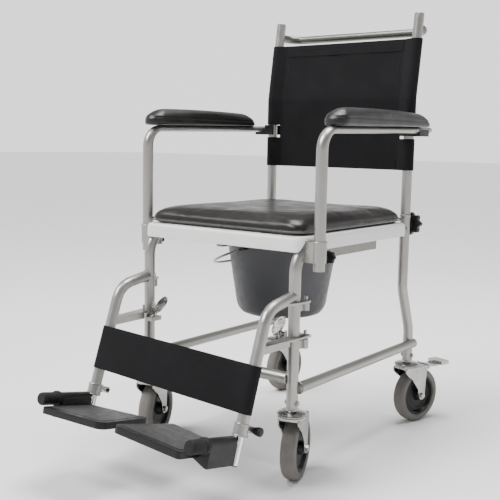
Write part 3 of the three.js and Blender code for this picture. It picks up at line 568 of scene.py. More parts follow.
# ---- camera, floor and light ----
def add_camera():
    """The photograph's view: 37 degrees round to the sitter's left, a little above the armrests."""
    azimuth, pitch, roll = radians(37.12), radians(7.35), radians(1.07)
    stand = (1.0371, -1.5018 + SHIFT_Y * 0.001, 0.6436)
    ahead = Vector((-sin(azimuth) * cos(pitch), cos(azimuth) * cos(pitch), -sin(pitch)))
    level = Vector((cos(azimuth), sin(azimuth), 0))
    above = level.cross(ahead)
    right = level * cos(roll) + above * sin(roll)
    up = above * cos(roll) - level * sin(roll)
    data = bpy.data.cameras.new("camera")
    data.sensor_width = 36
    data.lens = 60.42
    camera = linked("camera", data)
    axes = Matrix((right, up, -ahead)).transposed().to_4x4()
    camera.matrix_world = Matrix.Translation(stand) @ axes
    bpy.context.scene.camera = camera


def add_floor(far=30):
    """A plain pale floor that reaches far metres each way."""
    mesh = bpy.data.meshes.new("floor")
    mesh.from_pydata([(-far, -far, 0), (far, -far, 0), (far, far, 0), (-far, far, 0)], [], [(0, 1, 2, 3)])
    made = Finish("studio_floor", grey(0.9), 0.8, Specular_IOR_Level=0.1)
    made.tinted(made.noise(1.5, 2), grey(0.88), 0.5)
    mesh.materials.append(made.material)
    linked("floor", mesh)


def aimed(name, data, direction):
    """A lamp that shines along a direction."""
    lamp = linked(name, data)
    lamp.rotation_mode = "QUATERNION"
    lamp.rotation_quaternion = Vector(direction).to_track_quat("-Z", "Y")
    return lamp


def add_world():
    """A white cyclorama: bright along the horizon, brightest behind the chair, softer overhead."""
    world = bpy.data.worlds.new("studio")
    world.use_nodes = True
    tree = world.node_tree
    towards = new_node(tree, "TexCoord", {}).outputs["Generated"]
    height = new_node(tree, "SeparateXYZ", {"Vector": towards}).outputs["Z"]
    fall = {"Value": height, "From Min": 0.18, "From Max": 0.42, "To Min": 1.45, "To Max": 0.35}
    upward = new_node(tree, "MapRange", fall, interpolation_type="SMOOTHSTEP").outputs["Result"]
    behind = {0: towards, 1: (-0.6, 0.8, 0)}
    ahead = new_node(tree, "VectorMath", behind, operation="DOT_PRODUCT").outputs["Value"]
    around = {"Value": ahead, "From Min": -1, "To Min": 0.55, "To Max": 1.12}
    screen = new_node(tree, "MapRange", around).outputs["Result"]
    strength = new_node(tree, "Math", {0: upward, 1: screen}, operation="MULTIPLY").outputs["Value"]
    background = tree.nodes["Background"].inputs
    background["Color"].default_value = (1, 1, 1, 1)
    tree.links.new(strength, background["Strength"])
    bpy.context.scene.world = world


def add_light():
    """A broad key light from the chair's front right, and a softbox over its back."""
    add_world()
    sun = bpy.data.lights.new("key", "SUN")
    sun.energy = 4.2
    sun.angle = radians(35)
    aimed("key", sun, (0.5, 0.75, -1.15))
    softbox = bpy.data.lights.new("top", "AREA")
    softbox.shape = "RECTANGLE"
    softbox.size, softbox.size_y = 1.6, 1.2
    softbox.energy = 95
    place, target = Vector((0.1, 0.5, 2.9)), Vector((0, 0, 0.45))
    aimed("top", softbox, target - place).location = place


# ---- frame ----
def hinge_socket(low, high):
    """A sleeve for the hanger's pin, and the strap that welds it to the side tube."""
    x, y = HINGE
    wall = [[6.1, low], [6.5, low + 0.5], [6.5, high - 0.5], [6.1, high]]
    sleeve = turned([[3.6, low], *wall, [3.6, high]], 28, closed=True)
    strap = box((LEG_X, x), (FRONT_Y + 4, y - 4), (low + 0.5, high - 0.5))
    return sleeve.shifted(x, y, 0) + strap


def leg_foot(y):
    """The lower end of a leg: a rolled lip round the castor's stem, and a bolt through it."""
    z = LEG_FOOT_Z
    profile = [[5.6, z], [10.6, z], [11.5, z + 1], [11.5, z + 4], [10.9, z + 5], [5.6, z + 5]]
    made = turned(profile, 40, closed=True).shifted(LEG_X, y, 0)
    for side in (1, -1):
        made += bolt((LEG_X + side * (TUBE - 0.6), y, z + 12), (side, 0, 0))
    return made


def weld(centre, along, radius):
    """The bead where one tube is welded to another."""
    inner, outer = radius - 1, radius + 0.9
    profile = [[inner, -1.5], [outer, -1.5], [radius + 1.6, 0], [outer, 1.3], [inner, 1.3]]
    return turned(profile, 32, closed=True).moved(standing(centre, along))


def side_tube():
    """A front leg bent into the seat's rail, with the sockets and the latch bar of its hanger."""
    rail = [(LEG_X, FRONT_Y, LEG_FOOT_Z), (LEG_X, FRONT_Y, SEAT_RAIL_Z), (LEG_X, BACK_Y - 9, SEAT_RAIL_Z)]
    latch_bar = box((LEG_X - 27, LEG_X - 6), (FRONT_Y - 20, FRONT_Y + 8), (268, 277), 1)
    return (
        tube(rail, bend=50)
        + hinge_socket(334, HANGER_TOP_Z - 12)
        + hinge_socket(262, LOWER_ARM_Z - 4.5)
        + latch_bar
        + leg_foot(FRONT_Y)
        + weld((LEG_X, BACK_Y - TUBE - 0.5, SEAT_RAIL_Z), (0, -1, 0), TUBE)
    )


def rear_leg():
    """An S-bent tube with a collar where the upright of the back plugs in."""
    heights = ((REAR_Y, LEG_FOOT_Z), (REAR_Y, 224), (BACK_Y, 322), (BACK_Y, JOINT_Z - 0.5))
    profile = [[9, -6], [11.6, -6], [11.9, -5.6], [11.9, -0.6], [11.4, 0], [9, 0]]
    collar = turned(profile, 40, closed=True).shifted(LEG_X, BACK_Y, JOINT_Z)
    return tube([(LEG_X, y, z) for y, z in heights], bend=60) + collar + leg_foot(REAR_Y)


def lower_rail():
    x, z, radius = LOWER_RAIL_X, LOWER_RAIL_Z, 10.5
    rail = swept([(x, FRONT_Y + 6, z), (x, REAR_Y + 12.5, z)], radius, 32, 3)
    return rail + weld((x, FRONT_Y + 8, z), (0, 1, 0), radius)


def armrest_socket():
    """A tube for the armrest's post, with a formed web that reaches back to the side tube."""
    low, high = SOCKET_Z
    bore, wall = 11.4, 13.5
    outer = [[bore, low], [13, low], [wall, low + 0.6], [wall, high - 0.8], [13, high], [bore, high]]
    lip = [[bore, high - 1], [14.2, high - 1], [14.4, high], [13.9, high + 0.9], [bore, high + 0.9]]
    web = arc((POST_X - 24, POST_Y), wall, 90, 270)
    web += [(POST_X - 4, POST_Y - 13.4), (POST_X - 11.6, POST_Y), (POST_X - 4, POST_Y + 13.4)]
    made = turned(outer, 48, closed=True).shifted(POST_X, POST_Y, 0) + prism(web, low, high, 0.5)
    return made + turned(lip, 48, closed=True).shifted(POST_X, POST_Y, 0)


def cross_tube(y, z, radius):
    half = LEG_X - 9
    bar = swept([(-half, y, z), (half, y, z)], radius)
    return bar + both(weld((half - 1, y, z), (-1, 0, 0), radius))


def add_frame():
    for name, shape in (
        ("side_tube", side_tube()),
        ("rear_leg", rear_leg()),
        ("lower_rail", lower_rail()),
        ("armrest_socket", armrest_socket()),
    ):
        add_pair(name, shape, "frame", "silver_paint", name + "_{side}")
    for name, node, shape in (
        ("front_cross", "front_cross_tube", cross_tube(FRONT_Y, FRONT_CROSS_Z, TUBE)),
        ("seat_cross_front_bar", "seat_cross_front", cross_tube(-165, SEAT_RAIL_Z, 9)),
        ("seat_cross_rear_bar", "seat_cross_rear", cross_tube(BACK_Y, SEAT_RAIL_Z, 10)),
    ):
        add(name, shape, "frame", "silver_paint", [node])
    for side in SIDES:
        refined("pan_rail_" + side, "beige_plastic", 0.8)


# ---- seat ----
def skirt_foot(x, y):
    """Height of the skirt's lower edge: arched over the bend of each side tube, and none across the back."""
    if y > BOARD_Y[1] - 4:
        return DECK_Z - 1
    if abs(x) < SKIRT_X - 9:
        return SKIRT_FOOT_Z
    places = (FRONT_Y - 1, FRONT_Y + 3, POST_Y - 16, POST_Y + 12, POST_Y + 16, POST_Y + 18)
    return SKIRT_FOOT_Z + float(np.interp(y, places, (0, 6, 22, 22, 17, 0)))


BOARD_MIDDLE = sum(BOARD_Y) / 2
BOARD_HALF = (BOARD_Y[1] - BOARD_Y[0]) / 2


def board_rim():
    """Points a few millimetres apart round the edge of the seat board."""
    corners = rounded_rectangle((-SKIRT_X, SKIRT_X), BOARD_Y, 22, 12)
    rim = []
    for a, b in zip(corners, corners[1:] + corners[:1]):
        steps = max(1, round(hypot(b[0] - a[0], b[1] - a[1]) / 3))
        rim += [(a[0] + (b[0] - a[0]) * k / steps, a[1] + (b[1] - a[1]) * k / steps) for k in range(steps)]
    return rim


def board_ring(rim, inset, height):
    """The rim drawn in by inset; height takes x and y."""
    sx, sy = 1 - inset / SKIRT_X, 1 - inset / BOARD_HALF
    return [Vector((x * sx, BOARD_MIDDLE + (y - BOARD_MIDDLE) * sy, height(x, y))) for x, y in rim]


def opening_ring(rim, grow, z):
    """The board's oval opening, with as many points as the rim."""
    angles = [atan2((y - BOARD_MIDDLE) / 213, x / SKIRT_X) for x, y in rim]
    wide, long = 95 + grow, 118 + grow
    return [Vector((wide * cos(a), PAN_Y - 5 + long * sin(a), z)) for a in angles]


def seat_board():
    """A deck with a deep skirt, rounded top edges and an oval opening."""
    rim = board_rim()

    def level(inset, z):
        return board_ring(rim, inset, lambda x, y: z)

    def foot(inset, lift):
        return board_ring(rim, inset, lambda x, y: skirt_foot(x, y) + lift)

    deck = [opening_ring(rim, 0, DECK_Z), level(3, DECK_Z)]
    skirt = [foot(2.6, 0.5), foot(2, 0), foot(0.6, 0), foot(0, 0.6)]
    edge = [level(EDGE - x, BOARD_TOP_Z - EDGE + z) for x, z in arc((0, 0), EDGE, 0, 90, 7)]
    mouth = [opening_ring(rim, grow, BOARD_TOP_Z - drop) for grow, drop in ((3, 0), (0.8, 0.6), (0, 2))]
    return lofted(deck + skirt + edge + mouth, closed=True)


def cushion_rings(x, y, corner, foot, layers, taper=1.0):
    """Rounded rectangles from [inset, height over the foot], their ends drawn in taper times as far."""
    rings = []
    for inset, height in layers:
        radius = min(corner, (x[1] - x[0]) / 2 - inset - 0.5)
        along = (y[0] + inset * taper, y[1] - inset * taper)
        outline = rounded_rectangle((x[0] + inset, x[1] - inset), along, radius)
        rings.append(raised(outline, foot + height))
    return rings


def bake(piece):
    """Puts a piece's modifiers into its mesh."""
    graph = bpy.context.evaluated_depsgraph_get()
    made = bpy.data.meshes.new_from_object(piece.evaluated_get(graph))
    piece.modifiers.clear()
    old = piece.data
    piece.data = made
    bpy.data.meshes.remove(old)


def coordinates(mesh):
    found = np.zeros(len(mesh.vertices) * 3, np.float32)
    mesh.vertices.foreach_get("co", found)
    return found.reshape(-1, 3).astype(float)


def set_coordinates(mesh, points):
    mesh.vertices.foreach_set("co", points.astype(np.float32).ravel())
    mesh.update()


def inflate(piece, cap, pressure=4.0, firm=None):
    """Swells a piece as stuffed cloth; no point moves more than cap millimetres, and none below firm, in
    millimetres above the floor, where the cover is held by its base."""
    before = coordinates(piece.data)
    move = swollen(piece, pressure) - before
    reach = np.linalg.norm(move, axis=1, keepdims=True)
    move *= np.minimum(1, cap * 0.001 / np.maximum(reach, 1e-9))
    if firm:
        move *= np.clip((before[:, 2:] * 1000 - firm) / 6, 0, 1)
    set_coordinates(piece.data, before + move)


def swollen(piece, pressure, frames=20):
    """Where the points of a piece are after a short cloth simulation with no gravity."""
    scene = bpy.context.scene
    cloth = piece.modifiers.new("cloth", "CLOTH")
    cloth.settings.use_pressure = True
    cloth.settings.uniform_pressure_force = pressure
    cloth.settings.effector_weights.gravity = 0
    cloth.point_cache.frame_start = 1
    cloth.point_cache.frame_end = frames
    for step in range(1, frames + 1):
        scene.frame_set(step)
    graph = bpy.context.evaluated_depsgraph_get()
    after = coordinates(piece.evaluated_get(graph).data)
    piece.modifiers.clear()
    scene.frame_set(1)
    return after


def smoothed(piece):
    modifier = piece.modifiers.new("smooth", "SUBSURF")
    modifier.levels = modifier.render_levels = 1
    bake(piece)


def in_stem_frame(points):
    """Metres in the part's frame to millimetres in the stems' frame."""
    return points * 1000 - np.array([0, SHIFT_Y, 0])


def in_part_frame(points):
    return (points + np.array([0, SHIFT_Y, 0])) * 0.001


def bell(distance, width):
    """A smooth bump: 1 at no distance, and almost 0 beyond twice the width."""
    return np.exp(-((distance / width) ** 2))


def soft_start(name, rings, voxel):
    """A closed form, meshed evenly and ready to be inflated."""
    piece = linked(name, lofted(rings).mesh(name))
    modifier = piece.modifiers.new("remesh", "REMESH")
    modifier.mode = "VOXEL"
    modifier.voxel_size = voxel
    bake(piece)
    return piece


def soft_finish(piece, body, material, node):
    """Gives a cushion's cover its material and smooth shading, and puts it on its body in place of its CAD
    node.
    """
    shaded_smooth(piece.data, material)
    placed(piece, body, [node])


CUSHION_X = (-SKIRT_X + 1, SKIRT_X - 1)
CUSHION_Y = (BOARD_Y[0] + 1, BOARD_Y[1] - 5)
CUSHION_FOOT = BOARD_TOP_Z + 0.3
SEAM_Z = CUSHION_FOOT + 8


def creases(points):
    """Pulls the cushion's cover into small folds at its corners and along its seam, and flattens its foot."""
    fold_depth, pucker_depth, seam_depth, dent_depth = 0.7, 0.3, 1.6, 1.1
    x, y, z = points.T
    half = (CUSHION_X[1] - CUSHION_X[0]) / 2
    middle = sum(CUSHION_Y) / 2
    length = (CUSHION_Y[1] - CUSHION_Y[0]) / 2
    u, v = np.abs(x) / half, np.abs(y - middle) / length
    edge = np.clip((np.maximum(u, v) - 0.8) / 0.2, 0, 1)
    corner = np.clip((np.minimum(u, v) - 0.72) / 0.28, 0, 1) * edge
    # The folds fan out round each corner.
    turn = np.arctan2(np.abs(y - middle) - length + 30, np.abs(x) - half + 30)
    folds = np.sin(turn * 21 + z * 0.09) * corner
    # The puckers are small, uneven waves along the seam.
    uneven = 0.5 + 0.5 * np.sin(x * 0.037 + 1) * np.sin(y * 0.041 + 2)
    waves = np.sin((x + y) * 0.21 + 2 * np.sin((x - y) * 0.06))
    puckers = waves * bell(z - SEAM_Z - 3, 6) * edge * uneven
    seam = bell(z - SEAM_Z, 2.2) * edge
    inward = np.stack([-np.sign(x) * (u > 0.9), -np.sign(y - middle) * (v > 0.9), np.zeros_like(x)], 1)
    depth = folds * fold_depth + puckers * pucker_depth + seam * seam_depth
    moved = points + inward * depth[:, None]
    moved[:, 2] += folds * 0.6 * np.clip((z - SEAM_Z - 4) / 8, 0, 1)
    # The top is a little uneven, as a used cushion's is.
    dents = np.sin(x * 0.021 + 0.6) * np.sin(y * 0.026 + 1.1) * np.clip((z - 500) / 8, 0, 1)
    moved[:, 2] += dents * dent_depth
    moved[:, 2] = np.maximum(moved[:, 2], CUSHION_FOOT)
    low = np.array([CUSHION_X[0] - 2, CUSHION_Y[0] - 3, 0])
    high = np.array([CUSHION_X[1] + 2, CUSHION_Y[1] + 3, 900])
    return np.clip(moved, low, high)


def piping(radius=1.7, proud=0.4):
    """The sewn edge cord that runs round the cushion, a little proud of its side; its paler vinyl is a
    painted highlight along the cord.
    """
    x = (CUSHION_X[0] - proud, CUSHION_X[1] + proud)
    y = (CUSHION_Y[0] - proud, CUSHION_Y[1] + proud)
    ring = raised(rounded_rectangle(x, y, 26, 10), SEAM_Z)
    rings = []
    for before, here, after in zip(ring[-1:] + ring[:-1], ring, ring[1:] + ring[:1]):
        ahead = (after - before).normalized()
        out = ahead.cross(Vector((0, 0, 1))).normalized()
        up = out.cross(ahead)
        rings.append([here + out * a + up * b for a, b in circle(radius, 12)])
    return lofted(rings, closed=True)


def add_seat():
    add("board", seat_board(), "frame", "white_plastic", ["seat_board"])
    layers = [[6, 1], [3, 4], [3, 12], [7, 20], [16, 25], [38, 29], [70, 31]]
    rings = cushion_rings(CUSHION_X, CUSHION_Y, 28, CUSHION_FOOT, layers)
    cushion = soft_start("cushion", rings, 0.006)
    inflate(cushion, 6)
    smoothed(cushion)
    points = creases(in_stem_frame(coordinates(cushion.data)))
    set_coordinates(cushion.data, in_part_frame(points))
    soft_finish(cushion, "cushion", look["vinyl"], "seat_cushion")
    add("cushion_piping", piping(), "cushion", "vinyl", material=piping_highlight_look)


# ---- back ----
def upright_y(z):
    return BACK_Y + max(0.0, z - RECLINE_Z) * tan(RECLINE)


def upright():
    """A tube that leans back above its bend, with the spigot that plugs into the rear leg."""
    heights = (JOINT_Z + 0.4, RECLINE_Z, BACK_TOP_Z)
    line = [(LEG_X, upright_y(z), z) for z in heights]
    spigot = rod((LEG_X, BACK_Y, JOINT_Z - 60), (LEG_X, BACK_Y, JOINT_Z + 4), 9)
    return swept(rounded_path(line, 80), TUBE, 36, 1.4) + spigot


def push_bar():
    front = (LEG_X, upright_y(PUSH_BAR_Z) + 7, PUSH_BAR_Z)
    rear = (LEG_X, upright_y(BACK_TOP_Z) + 48, PUSH_BAR_Z - 3)
    corners = [(-front[0], *front[1:]), (-rear[0], *rear[1:]), rear, front]
    return tube(corners, 9, 36)


SLEEVE_MID = 12.6  # radius of the cloth's middle where it wraps an upright
SEAM_X = 157
SLEEVE_X = 161.5  # where the sleeve's two layers part
NOTCH_Z = (656, 686)  # the gap in each sleeve for the armrest's clip
BOW = 3.2  # how far the panel bows back in its middle


def sling_section():
    """The sling from above, round both uprights and across between them: [x, y off the uprights]."""
    turn = 180 - degrees(acos(SLEEVE_MID / (LEG_X - SEAM_X)))
    wrap = arc((LEG_X, 0), SLEEVE_MID, turn, -turn, 26)
    tail = [(SEAM_X - 5, 1.0), (SEAM_X, 1.0), (SLEEVE_X, 2.6)]
    nose = [(SLEEVE_X, -2.6), (SEAM_X, -0.6)]
    right = tail + wrap + nose
    across = [(x, -0.6) for x in np.linspace(SEAM_X - 6, -SEAM_X + 6, 60)]
    left = [(-x, y) for x, y in reversed(right)]
    return right + across + left


def cloth_grid(rows, is_cut=None):
    """A sheet over rows of points, without the faces whose middle is cut out."""
    count = len(rows[0])
    points = [p for row in rows for p in row]
    faces = []
    for i in range(len(rows) - 1):
        for k in range(count - 1):
            a = i * count + k
            corners = (a, a + 1, a + count + 1, a + count)
            middle = sum((points[c] for c in corners), Vector()) / 4
            if not (is_cut and is_cut(middle)):
                faces.append(corners)
    return Shape(points, faces)


def distances(points):
    """How far along a line each of its points is, in metres."""
    found = [0.0]
    for a, b in zip(points, points[1:]):
        found.append(found[-1] + (b - a).length * 0.001)
    return found


def cloth_uvs(mesh, rows):
    """Distance along each row, and from row to row, as the cloth's own coordinates."""
    along = distances(rows[0])
    down = distances([row[0] for row in rows])
    layer = mesh.uv_layers.new(name="cloth")
    for loop in mesh.loops:
        row, column = divmod(loop.vertex_index, len(rows[0]))
        layer.data[loop.index].uv = (along[column], down[row])


def cloth_piece(name, rows, thickness, body, node="", is_cut=None):
    """A woven sheet of a thickness in millimetres, on its body and in place of its CAD node."""
    mesh = cloth_grid(rows, is_cut).mesh(name)
    cloth_uvs(mesh, rows)
    piece = linked(name, mesh)
    solid = piece.modifiers.new("thickness", "SOLIDIFY")
    solid.thickness = thickness * 0.001
    solid.offset = 0
    bake(piece)
    shaded_smooth(piece.data, look["sling_cloth"])
    piece.data.set_sharp_from_angle(angle=radians(50))
    return placed(piece, body, [node] if node else ())


def flatness(x):
    """How far the sling's panel may bow at x: 1 in the middle and 0 from its seams outward."""
    return max(0.0, 1 - (abs(x) / SEAM_X) ** 2)


def sling_share(z):
    return (z - SLING_Z[0]) / (SLING_Z[1] - SLING_Z[0])


def sling_bow(x, z):
    return BOW * flatness(x) * (0.6 + 0.4 * sin(pi * sling_share(z)))


def sling_rows():
    """The sling's rows from its hem up, bowed a little backwards and drawn in at its seams."""
    low, high = SLING_Z
    levels = sorted({*np.linspace(low, high, 60).round(2).tolist(), *map(float, NOTCH_Z)})
    rows = []
    for z in levels:
        share = sling_share(z)
        hem = 0.7 if min(z - low, high - z) < 18 else 0.0
        row = []
        for x, y in sling_section():
            flat = flatness(x)
            ripple = 0.7 * sin(x * 0.045 + 3 * share) * sin(5 * pi * share + x * 0.01) * flat ** 0.3
            off = y + sling_bow(x, z) + ripple - hem * (flat > 0)
            row.append(Vector((x, upright_y(z) + off, z)))
        rows.append(row)
    return rows


def sling_hole(point):
    """Whether a point of the cloth lies in the notch cut for an armrest's clip."""
    return NOTCH_Z[0] < point.z < NOTCH_Z[1] and abs(point.x) > SLEEVE_X


def stitches(start, end):
    """A line of sewn thread: short capsules with gaps between them."""
    start, end = Vector(start), Vector(end)
    pitch, radius = 4.2, 0.35
    count = max(1, int((end - start).length / pitch))
    line = Shape()
    for k in range(count):
        a = start.lerp(end, (k + 0.15) / count)
        b = start.lerp(end, (k + 0.8) / count)
        line += swept([a, b], radius, 6, radius * 0.5)
    return line


def sling_stitching():
    """Two rows of stitches down each seam, just in front of the cloth."""
    heights = (SLING_Z[0] + 3, RECLINE_Z, SLING_Z[1] - 3)
    made = Shape()
    for x in (SEAM_X - 3, SEAM_X - 8):
        line = [(x, upright_y(z) - 1.9 + BOW * flatness(x) * 0.6, z) for z in heights]
        made += both(stitches(*line[:2]) + stitches(*line[1:]))
    return made


def hem_band(low, high):
    """The folded edge of the sling, standing a little proud of the panel."""
    across = np.linspace(-SEAM_X + 1, SEAM_X - 1, 60)
    rows = []
    for z in np.linspace(low, high, 5):
        rows.append([Vector((x, upright_y(z) - 2.0 + sling_bow(x, z), z)) for x in across])
    return rows


def star_knob():
    """An eight-lobed knob on a screw."""
    layers = [(0.8, 0), (0.95, 1), (1, 3), (1, 13), (0.96, 15.5), (0.82, 17)]
    layers += [(0.5, 17.4), (0.42, 16.4), (0.1, 16.2)]
    neck = turned([[0, -7], [7.5, -7], [8.4, -5], [9.5, 0.5], [0, 0.5]], 40)
    screw = turned([[0, -12], [4, -12], [4, -6], [0, -6]], 24)
    turn = Matrix.Translation((LEG_X, BACK_Y + 21.5, KNOB_Z)) @ ALONG_Y
    return (lobed(26, 8, 0.1, layers, 96) + neck + screw).moved(turn)


def add_back():
    add_pair("upright", upright(), "backrest", "silver_paint", "back_upright_{side}")
    add("push_handle", push_bar(), "backrest", "grey_paint", ["push_bar"])
    sling = cloth_piece("sling", sling_rows(), 1.5, "backrest", "back_sling", sling_hole)
    sewn = [add("sling_stitching", sling_stitching(), "backrest", "sling_cloth", material=thread_look)]
    low, high = SLING_Z
    for name, foot, top in (("sling_top_hem", high - 26, high), ("sling_lower_hem", low, low + 20)):
        sewn.append(cloth_piece(name, hem_band(foot, top), 0.8, "backrest"))
    add_pair("seat_lock_knob", star_knob(), "star_knob_{side}", "black_plastic", "star_knob_{side}")


# ---- armrests ----
def arm_z(y):
    return ARM_FRONT_Z + (ARM_REAR[2] - ARM_FRONT_Z) * (y - POST_Y) / (ARM_REAR[1] - POST_Y)


def flattened(x, y, z):
    """A point of the armrest's tube, which is pressed flatter along its run."""
    return Vector((x, y, arm_z(y) + (z - arm_z(y)) * ARM_FLAT))


def pressed(point):
    """A point of the armrest's tube, which goes from round to flat through its bend."""
    x, y, z = point
    centre_y, centre_z = POST_Y + ARM_BEND, ARM_FRONT_Z - ARM_BEND
    if y > centre_y:
        return flattened(x, y, z)
    if z > centre_z:
        reach = hypot(y - centre_y, z - centre_z)
        turn = atan2(z - centre_z, centre_y - y) / (pi / 2)
        flat = 1 + (ARM_FLAT - 1) * turn
        scale = (ARM_BEND + (reach - ARM_BEND) * flat) / reach
        return Vector((x, centre_y + (y - centre_y) * scale, centre_z + (z - centre_z) * scale))
    return point


def arm_tube():
    corners = [(POST_X, POST_Y, POST_FOOT_Z), (POST_X, POST_Y, ARM_FRONT_Z), ARM_REAR]
    made = tube(corners, bend=ARM_BEND, sides=40)
    return Shape([pressed(p) for p in made.points], made.faces)


def arm_plugs():
    """Plugs in the foot of the armrest's post and in the rear end of its tube."""
    foot_z, rear = POST_FOOT_Z, Vector(ARM_REAR)
    low, high = foot_z - 0.5, foot_z + 2
    foot = turned([[0, low], [8.6, low], [9.4, high], [0, high]], 32)
    along = (rear - Vector((POST_X, POST_Y, ARM_FRONT_Z))).normalized()
    end = rod(rear - along * 2, rear + along * 0.6, 9, 28, 0.8)
    return foot.shifted(POST_X, POST_Y, 0) + Shape([flattened(*p) for p in end.points], end.faces)


def shaped_pad(points, y, seam):
    """Draws the cover in along its seam, crowns its top and sets its foot on the armrest's tube."""
    x, along, z = points.T
    share = np.clip((along - y[0]) / (y[1] - y[0]), 0, 1)
    across = np.abs(x - PAD_X) > 17
    ends = np.abs(share - 0.5) > 0.45
    out = np.stack([np.sign(x - PAD_X) * across, np.sign(share - 0.5) * ends, 0 * z], 1)
    seam_depth = 1.2
    points = points - out * (seam_depth * bell(z - seam, 1.5))[:, None]
    crown = (2.5 * np.sin(pi * share) - 1.5) * np.clip((z - seam) / 12, 0, 1)
    points[:, 2] += np.where(z > seam, crown, 0)
    rest = arm_z(along) + 6.8
    base = seam - (seam - points[:, 2]) * (seam - rest) / (seam - PAD_FOOT_Z)
    points[:, 2] = np.where(z < seam, base, points[:, 2])
    return points


def arm_pad(side, y):
    """A domed pad on an upright-walled base, its cover sewn to the base along a seam."""
    half, seam = 25, PAD_FOOT_Z + 15
    layers = [[0.8, 0], [0, 1.5], [0.2, 8], [0.8, 15], [2.2, 18], [6, 24], [11, 29], [16, 32], [21, 33.5]]
    rings = cushion_rings((PAD_X - half, PAD_X + half), y, half, PAD_FOOT_Z, layers, 2.0)
    pad = soft_start("armrest_cushion_" + side, rings, 0.004)
    inflate(pad, 4, pressure=3, firm=seam)
    smoothed(pad)
    points = shaped_pad(in_stem_frame(coordinates(pad.data)), y, seam)
    if side == "right":
        points[:, 0] *= -1
        pad.data.flip_normals()
    set_coordinates(pad.data, in_part_frame(points))
    soft_finish(pad, "armrest_" + side, pad_look, "armrest_pad_" + side)


def lock_knob():
    """A seven-lobed knob on a pin."""
    layers = [(0.75, 0), (0.95, 1), (1, 2.5), (1, 8), (0.93, 10), (0.75, 11), (0.1, 11.3)]
    pin = turned([[0, -19], [3, -19], [3, 0.5], [0, 0.5]], 24)
    turn = Matrix.Translation((POST_X, POST_Y + 30.5, 432)) @ ALONG_Y
    return (lobed(13, 7, 0.08, layers, 84) + pin).moved(turn)


def add_armrests():
    add_pair("arm_tube", arm_tube(), "armrest_{side}", "silver_paint", "armrest_tube_{side}")
    add_pair("arm_plugs", arm_plugs(), "armrest_{side}", "black_plastic", material=dark_plug)
    arm_pad("left", (-185, 196))
    arm_pad("right", (-206, 152))
    for side in SIDES:
        refined("armrest_clip_" + side, "black_plastic", 1.0)
    add_pair("arm_lock", lock_knob(), "lock_knob_{side}", "black_plastic", "armrest_lock_knob_{side}")


# ---- pan ----
def pan():
    """A deep bowl with a rolled rim, and a small lip under the rim."""
    outside = [
        [0, 276], [73, 276], [80, 276.6], [86, 279], [91, 284], [95, 291], [98, 300], [108.5, 366],
        [119, 429.5], [121, 431], [132, 431], [133.8, 431.6], [134, 433], [133.4, 434.6], [131.5, 435],
    ]
    inside = [
        [117, 435], [115.6, 434.2], [106, 373], [95, 302], [92, 293], [87, 286], [80, 281], [71, 279],
        [0, 279],
    ]
    lip = [[126, 431.2], [126, 427.5], [127.5, 427], [129, 427.5], [129, 431.2]]
    return (turned(outside + inside, 112) + turned(lip, 112, closed=True)).shifted(0, PAN_Y, 0)


def pan_bail():
    """The wire handle round the pan's right side, its ends turned in under the rim."""
    mouth, reach = 119, 150
    loop = [(0, -mouth - 3)] + arc((-4, 0), reach, -90, -270, 60) + [(0, mouth + 3)]
    turn = Matrix.Translation((0, PAN_Y, PAN_RIM_Z - 5)) @ Matrix.Rotation(-radians(20), 4, "Y")
    return swept(raised(loop, 0), 2.5, 18).moved(turn)


def add_pan():
    add("pan_bowl", pan(), "pan", "grey_plastic", ["commode_pan"])
    # The bail's darkened zinc is painted shade.
    add("pan_bail", pan_bail(), "bail", "zinc", ["pan_handle"], shaded_wire_look)


# ---- footrests ----
hanger_down = Vector((0, -sin(HANGER_LEAN), -cos(HANGER_LEAN)))
axle_ahead = Vector((0, -cos(AXLE_TILT), sin(AXLE_TILT)))


def hanger_at(z):
    y, knee_z = HANGER_KNEE
    return Vector((LEG_X, y - (knee_z - z) * tan(HANGER_LEAN), z))


axle_start = hanger_at(AXLE_Z)


def along_axle(s):
    return axle_start + axle_ahead * s


def footrest_tube():
    inner = rod(axle_start - hanger_down * 122, hanger_at(91.5), 8.5, 36)
    return inner + rod(axle_start, along_axle(126), 5.5, 28)


def tube_plug():
    return rod(hanger_at(93), hanger_at(90), 8.6, 32, 1.2)


def axle_cap():
    """The rubber grip on the end of the footplate's axle: a wide ring and a ribbed barrel."""
    profile = [[6, 89], [13.6, 89], [14.5, 90], [14.5, 95.8], [13.6, 97], [12, 97.6]]
    for k in range(6):
        start = 99.5 + 4.7 * k
        profile += [[12, start], [12.35, start + 0.9], [12.35, start + 2.7], [12, start + 3.6]]
    profile += [[11.6, 129.6], [10.2, 131], [6, 131], [0, 130.2], [0, 126.5], [6, 126.5]]
    return turned(profile, 48, closed=True).moved(standing(axle_start, axle_ahead))


def plate_outline():
    """The footplate from above, its axle along -Y and its outer edge at the axle's housing."""
    inner = -LEG_X + 14
    points = [(-12.5, -15)]
    points += arc((-20, -129.5), 7.5, 0, -90, 6)
    points += arc((inner + 16, -121), 16, -90, -180, 8)
    return points + arc((inner + 26, -8), 10, 180, 90, 6)


def foot_place(rise):
    turn = Matrix.Rotation(-AXLE_TILT, 4, "X") @ Matrix.Rotation(radians(rise), 4, "Y")
    return Matrix.Translation(axle_start) @ turn


def footplate():
    """A deep-edged tray, and the housing that turns on the axle, with its flat outer wall."""
    tray = prism(plate_outline(), -24, -11, 1.6)
    housing = [(4, -37), (11, -37), (11, 0)] + arc((-1, 0), 12, 0, 180, 14)
    housing += [(-13, -12), (-36, -12), (-36, -23)]
    return tray + prism(housing, 15, 88, 1.2).moved(OUTLINE_ALONG_Y)


def footplate_tread():
    """The pebbled field of the footplate, inside a smooth border; its lighter grey is painted sheen on the
    footplate's top.
    """
    x, y = -86, -66
    field = [(x + (a - x) * 0.87, y + (b - y) * 0.82) for a, b in plate_outline()]
    return prism(field, -12, -10.4, 0.5)


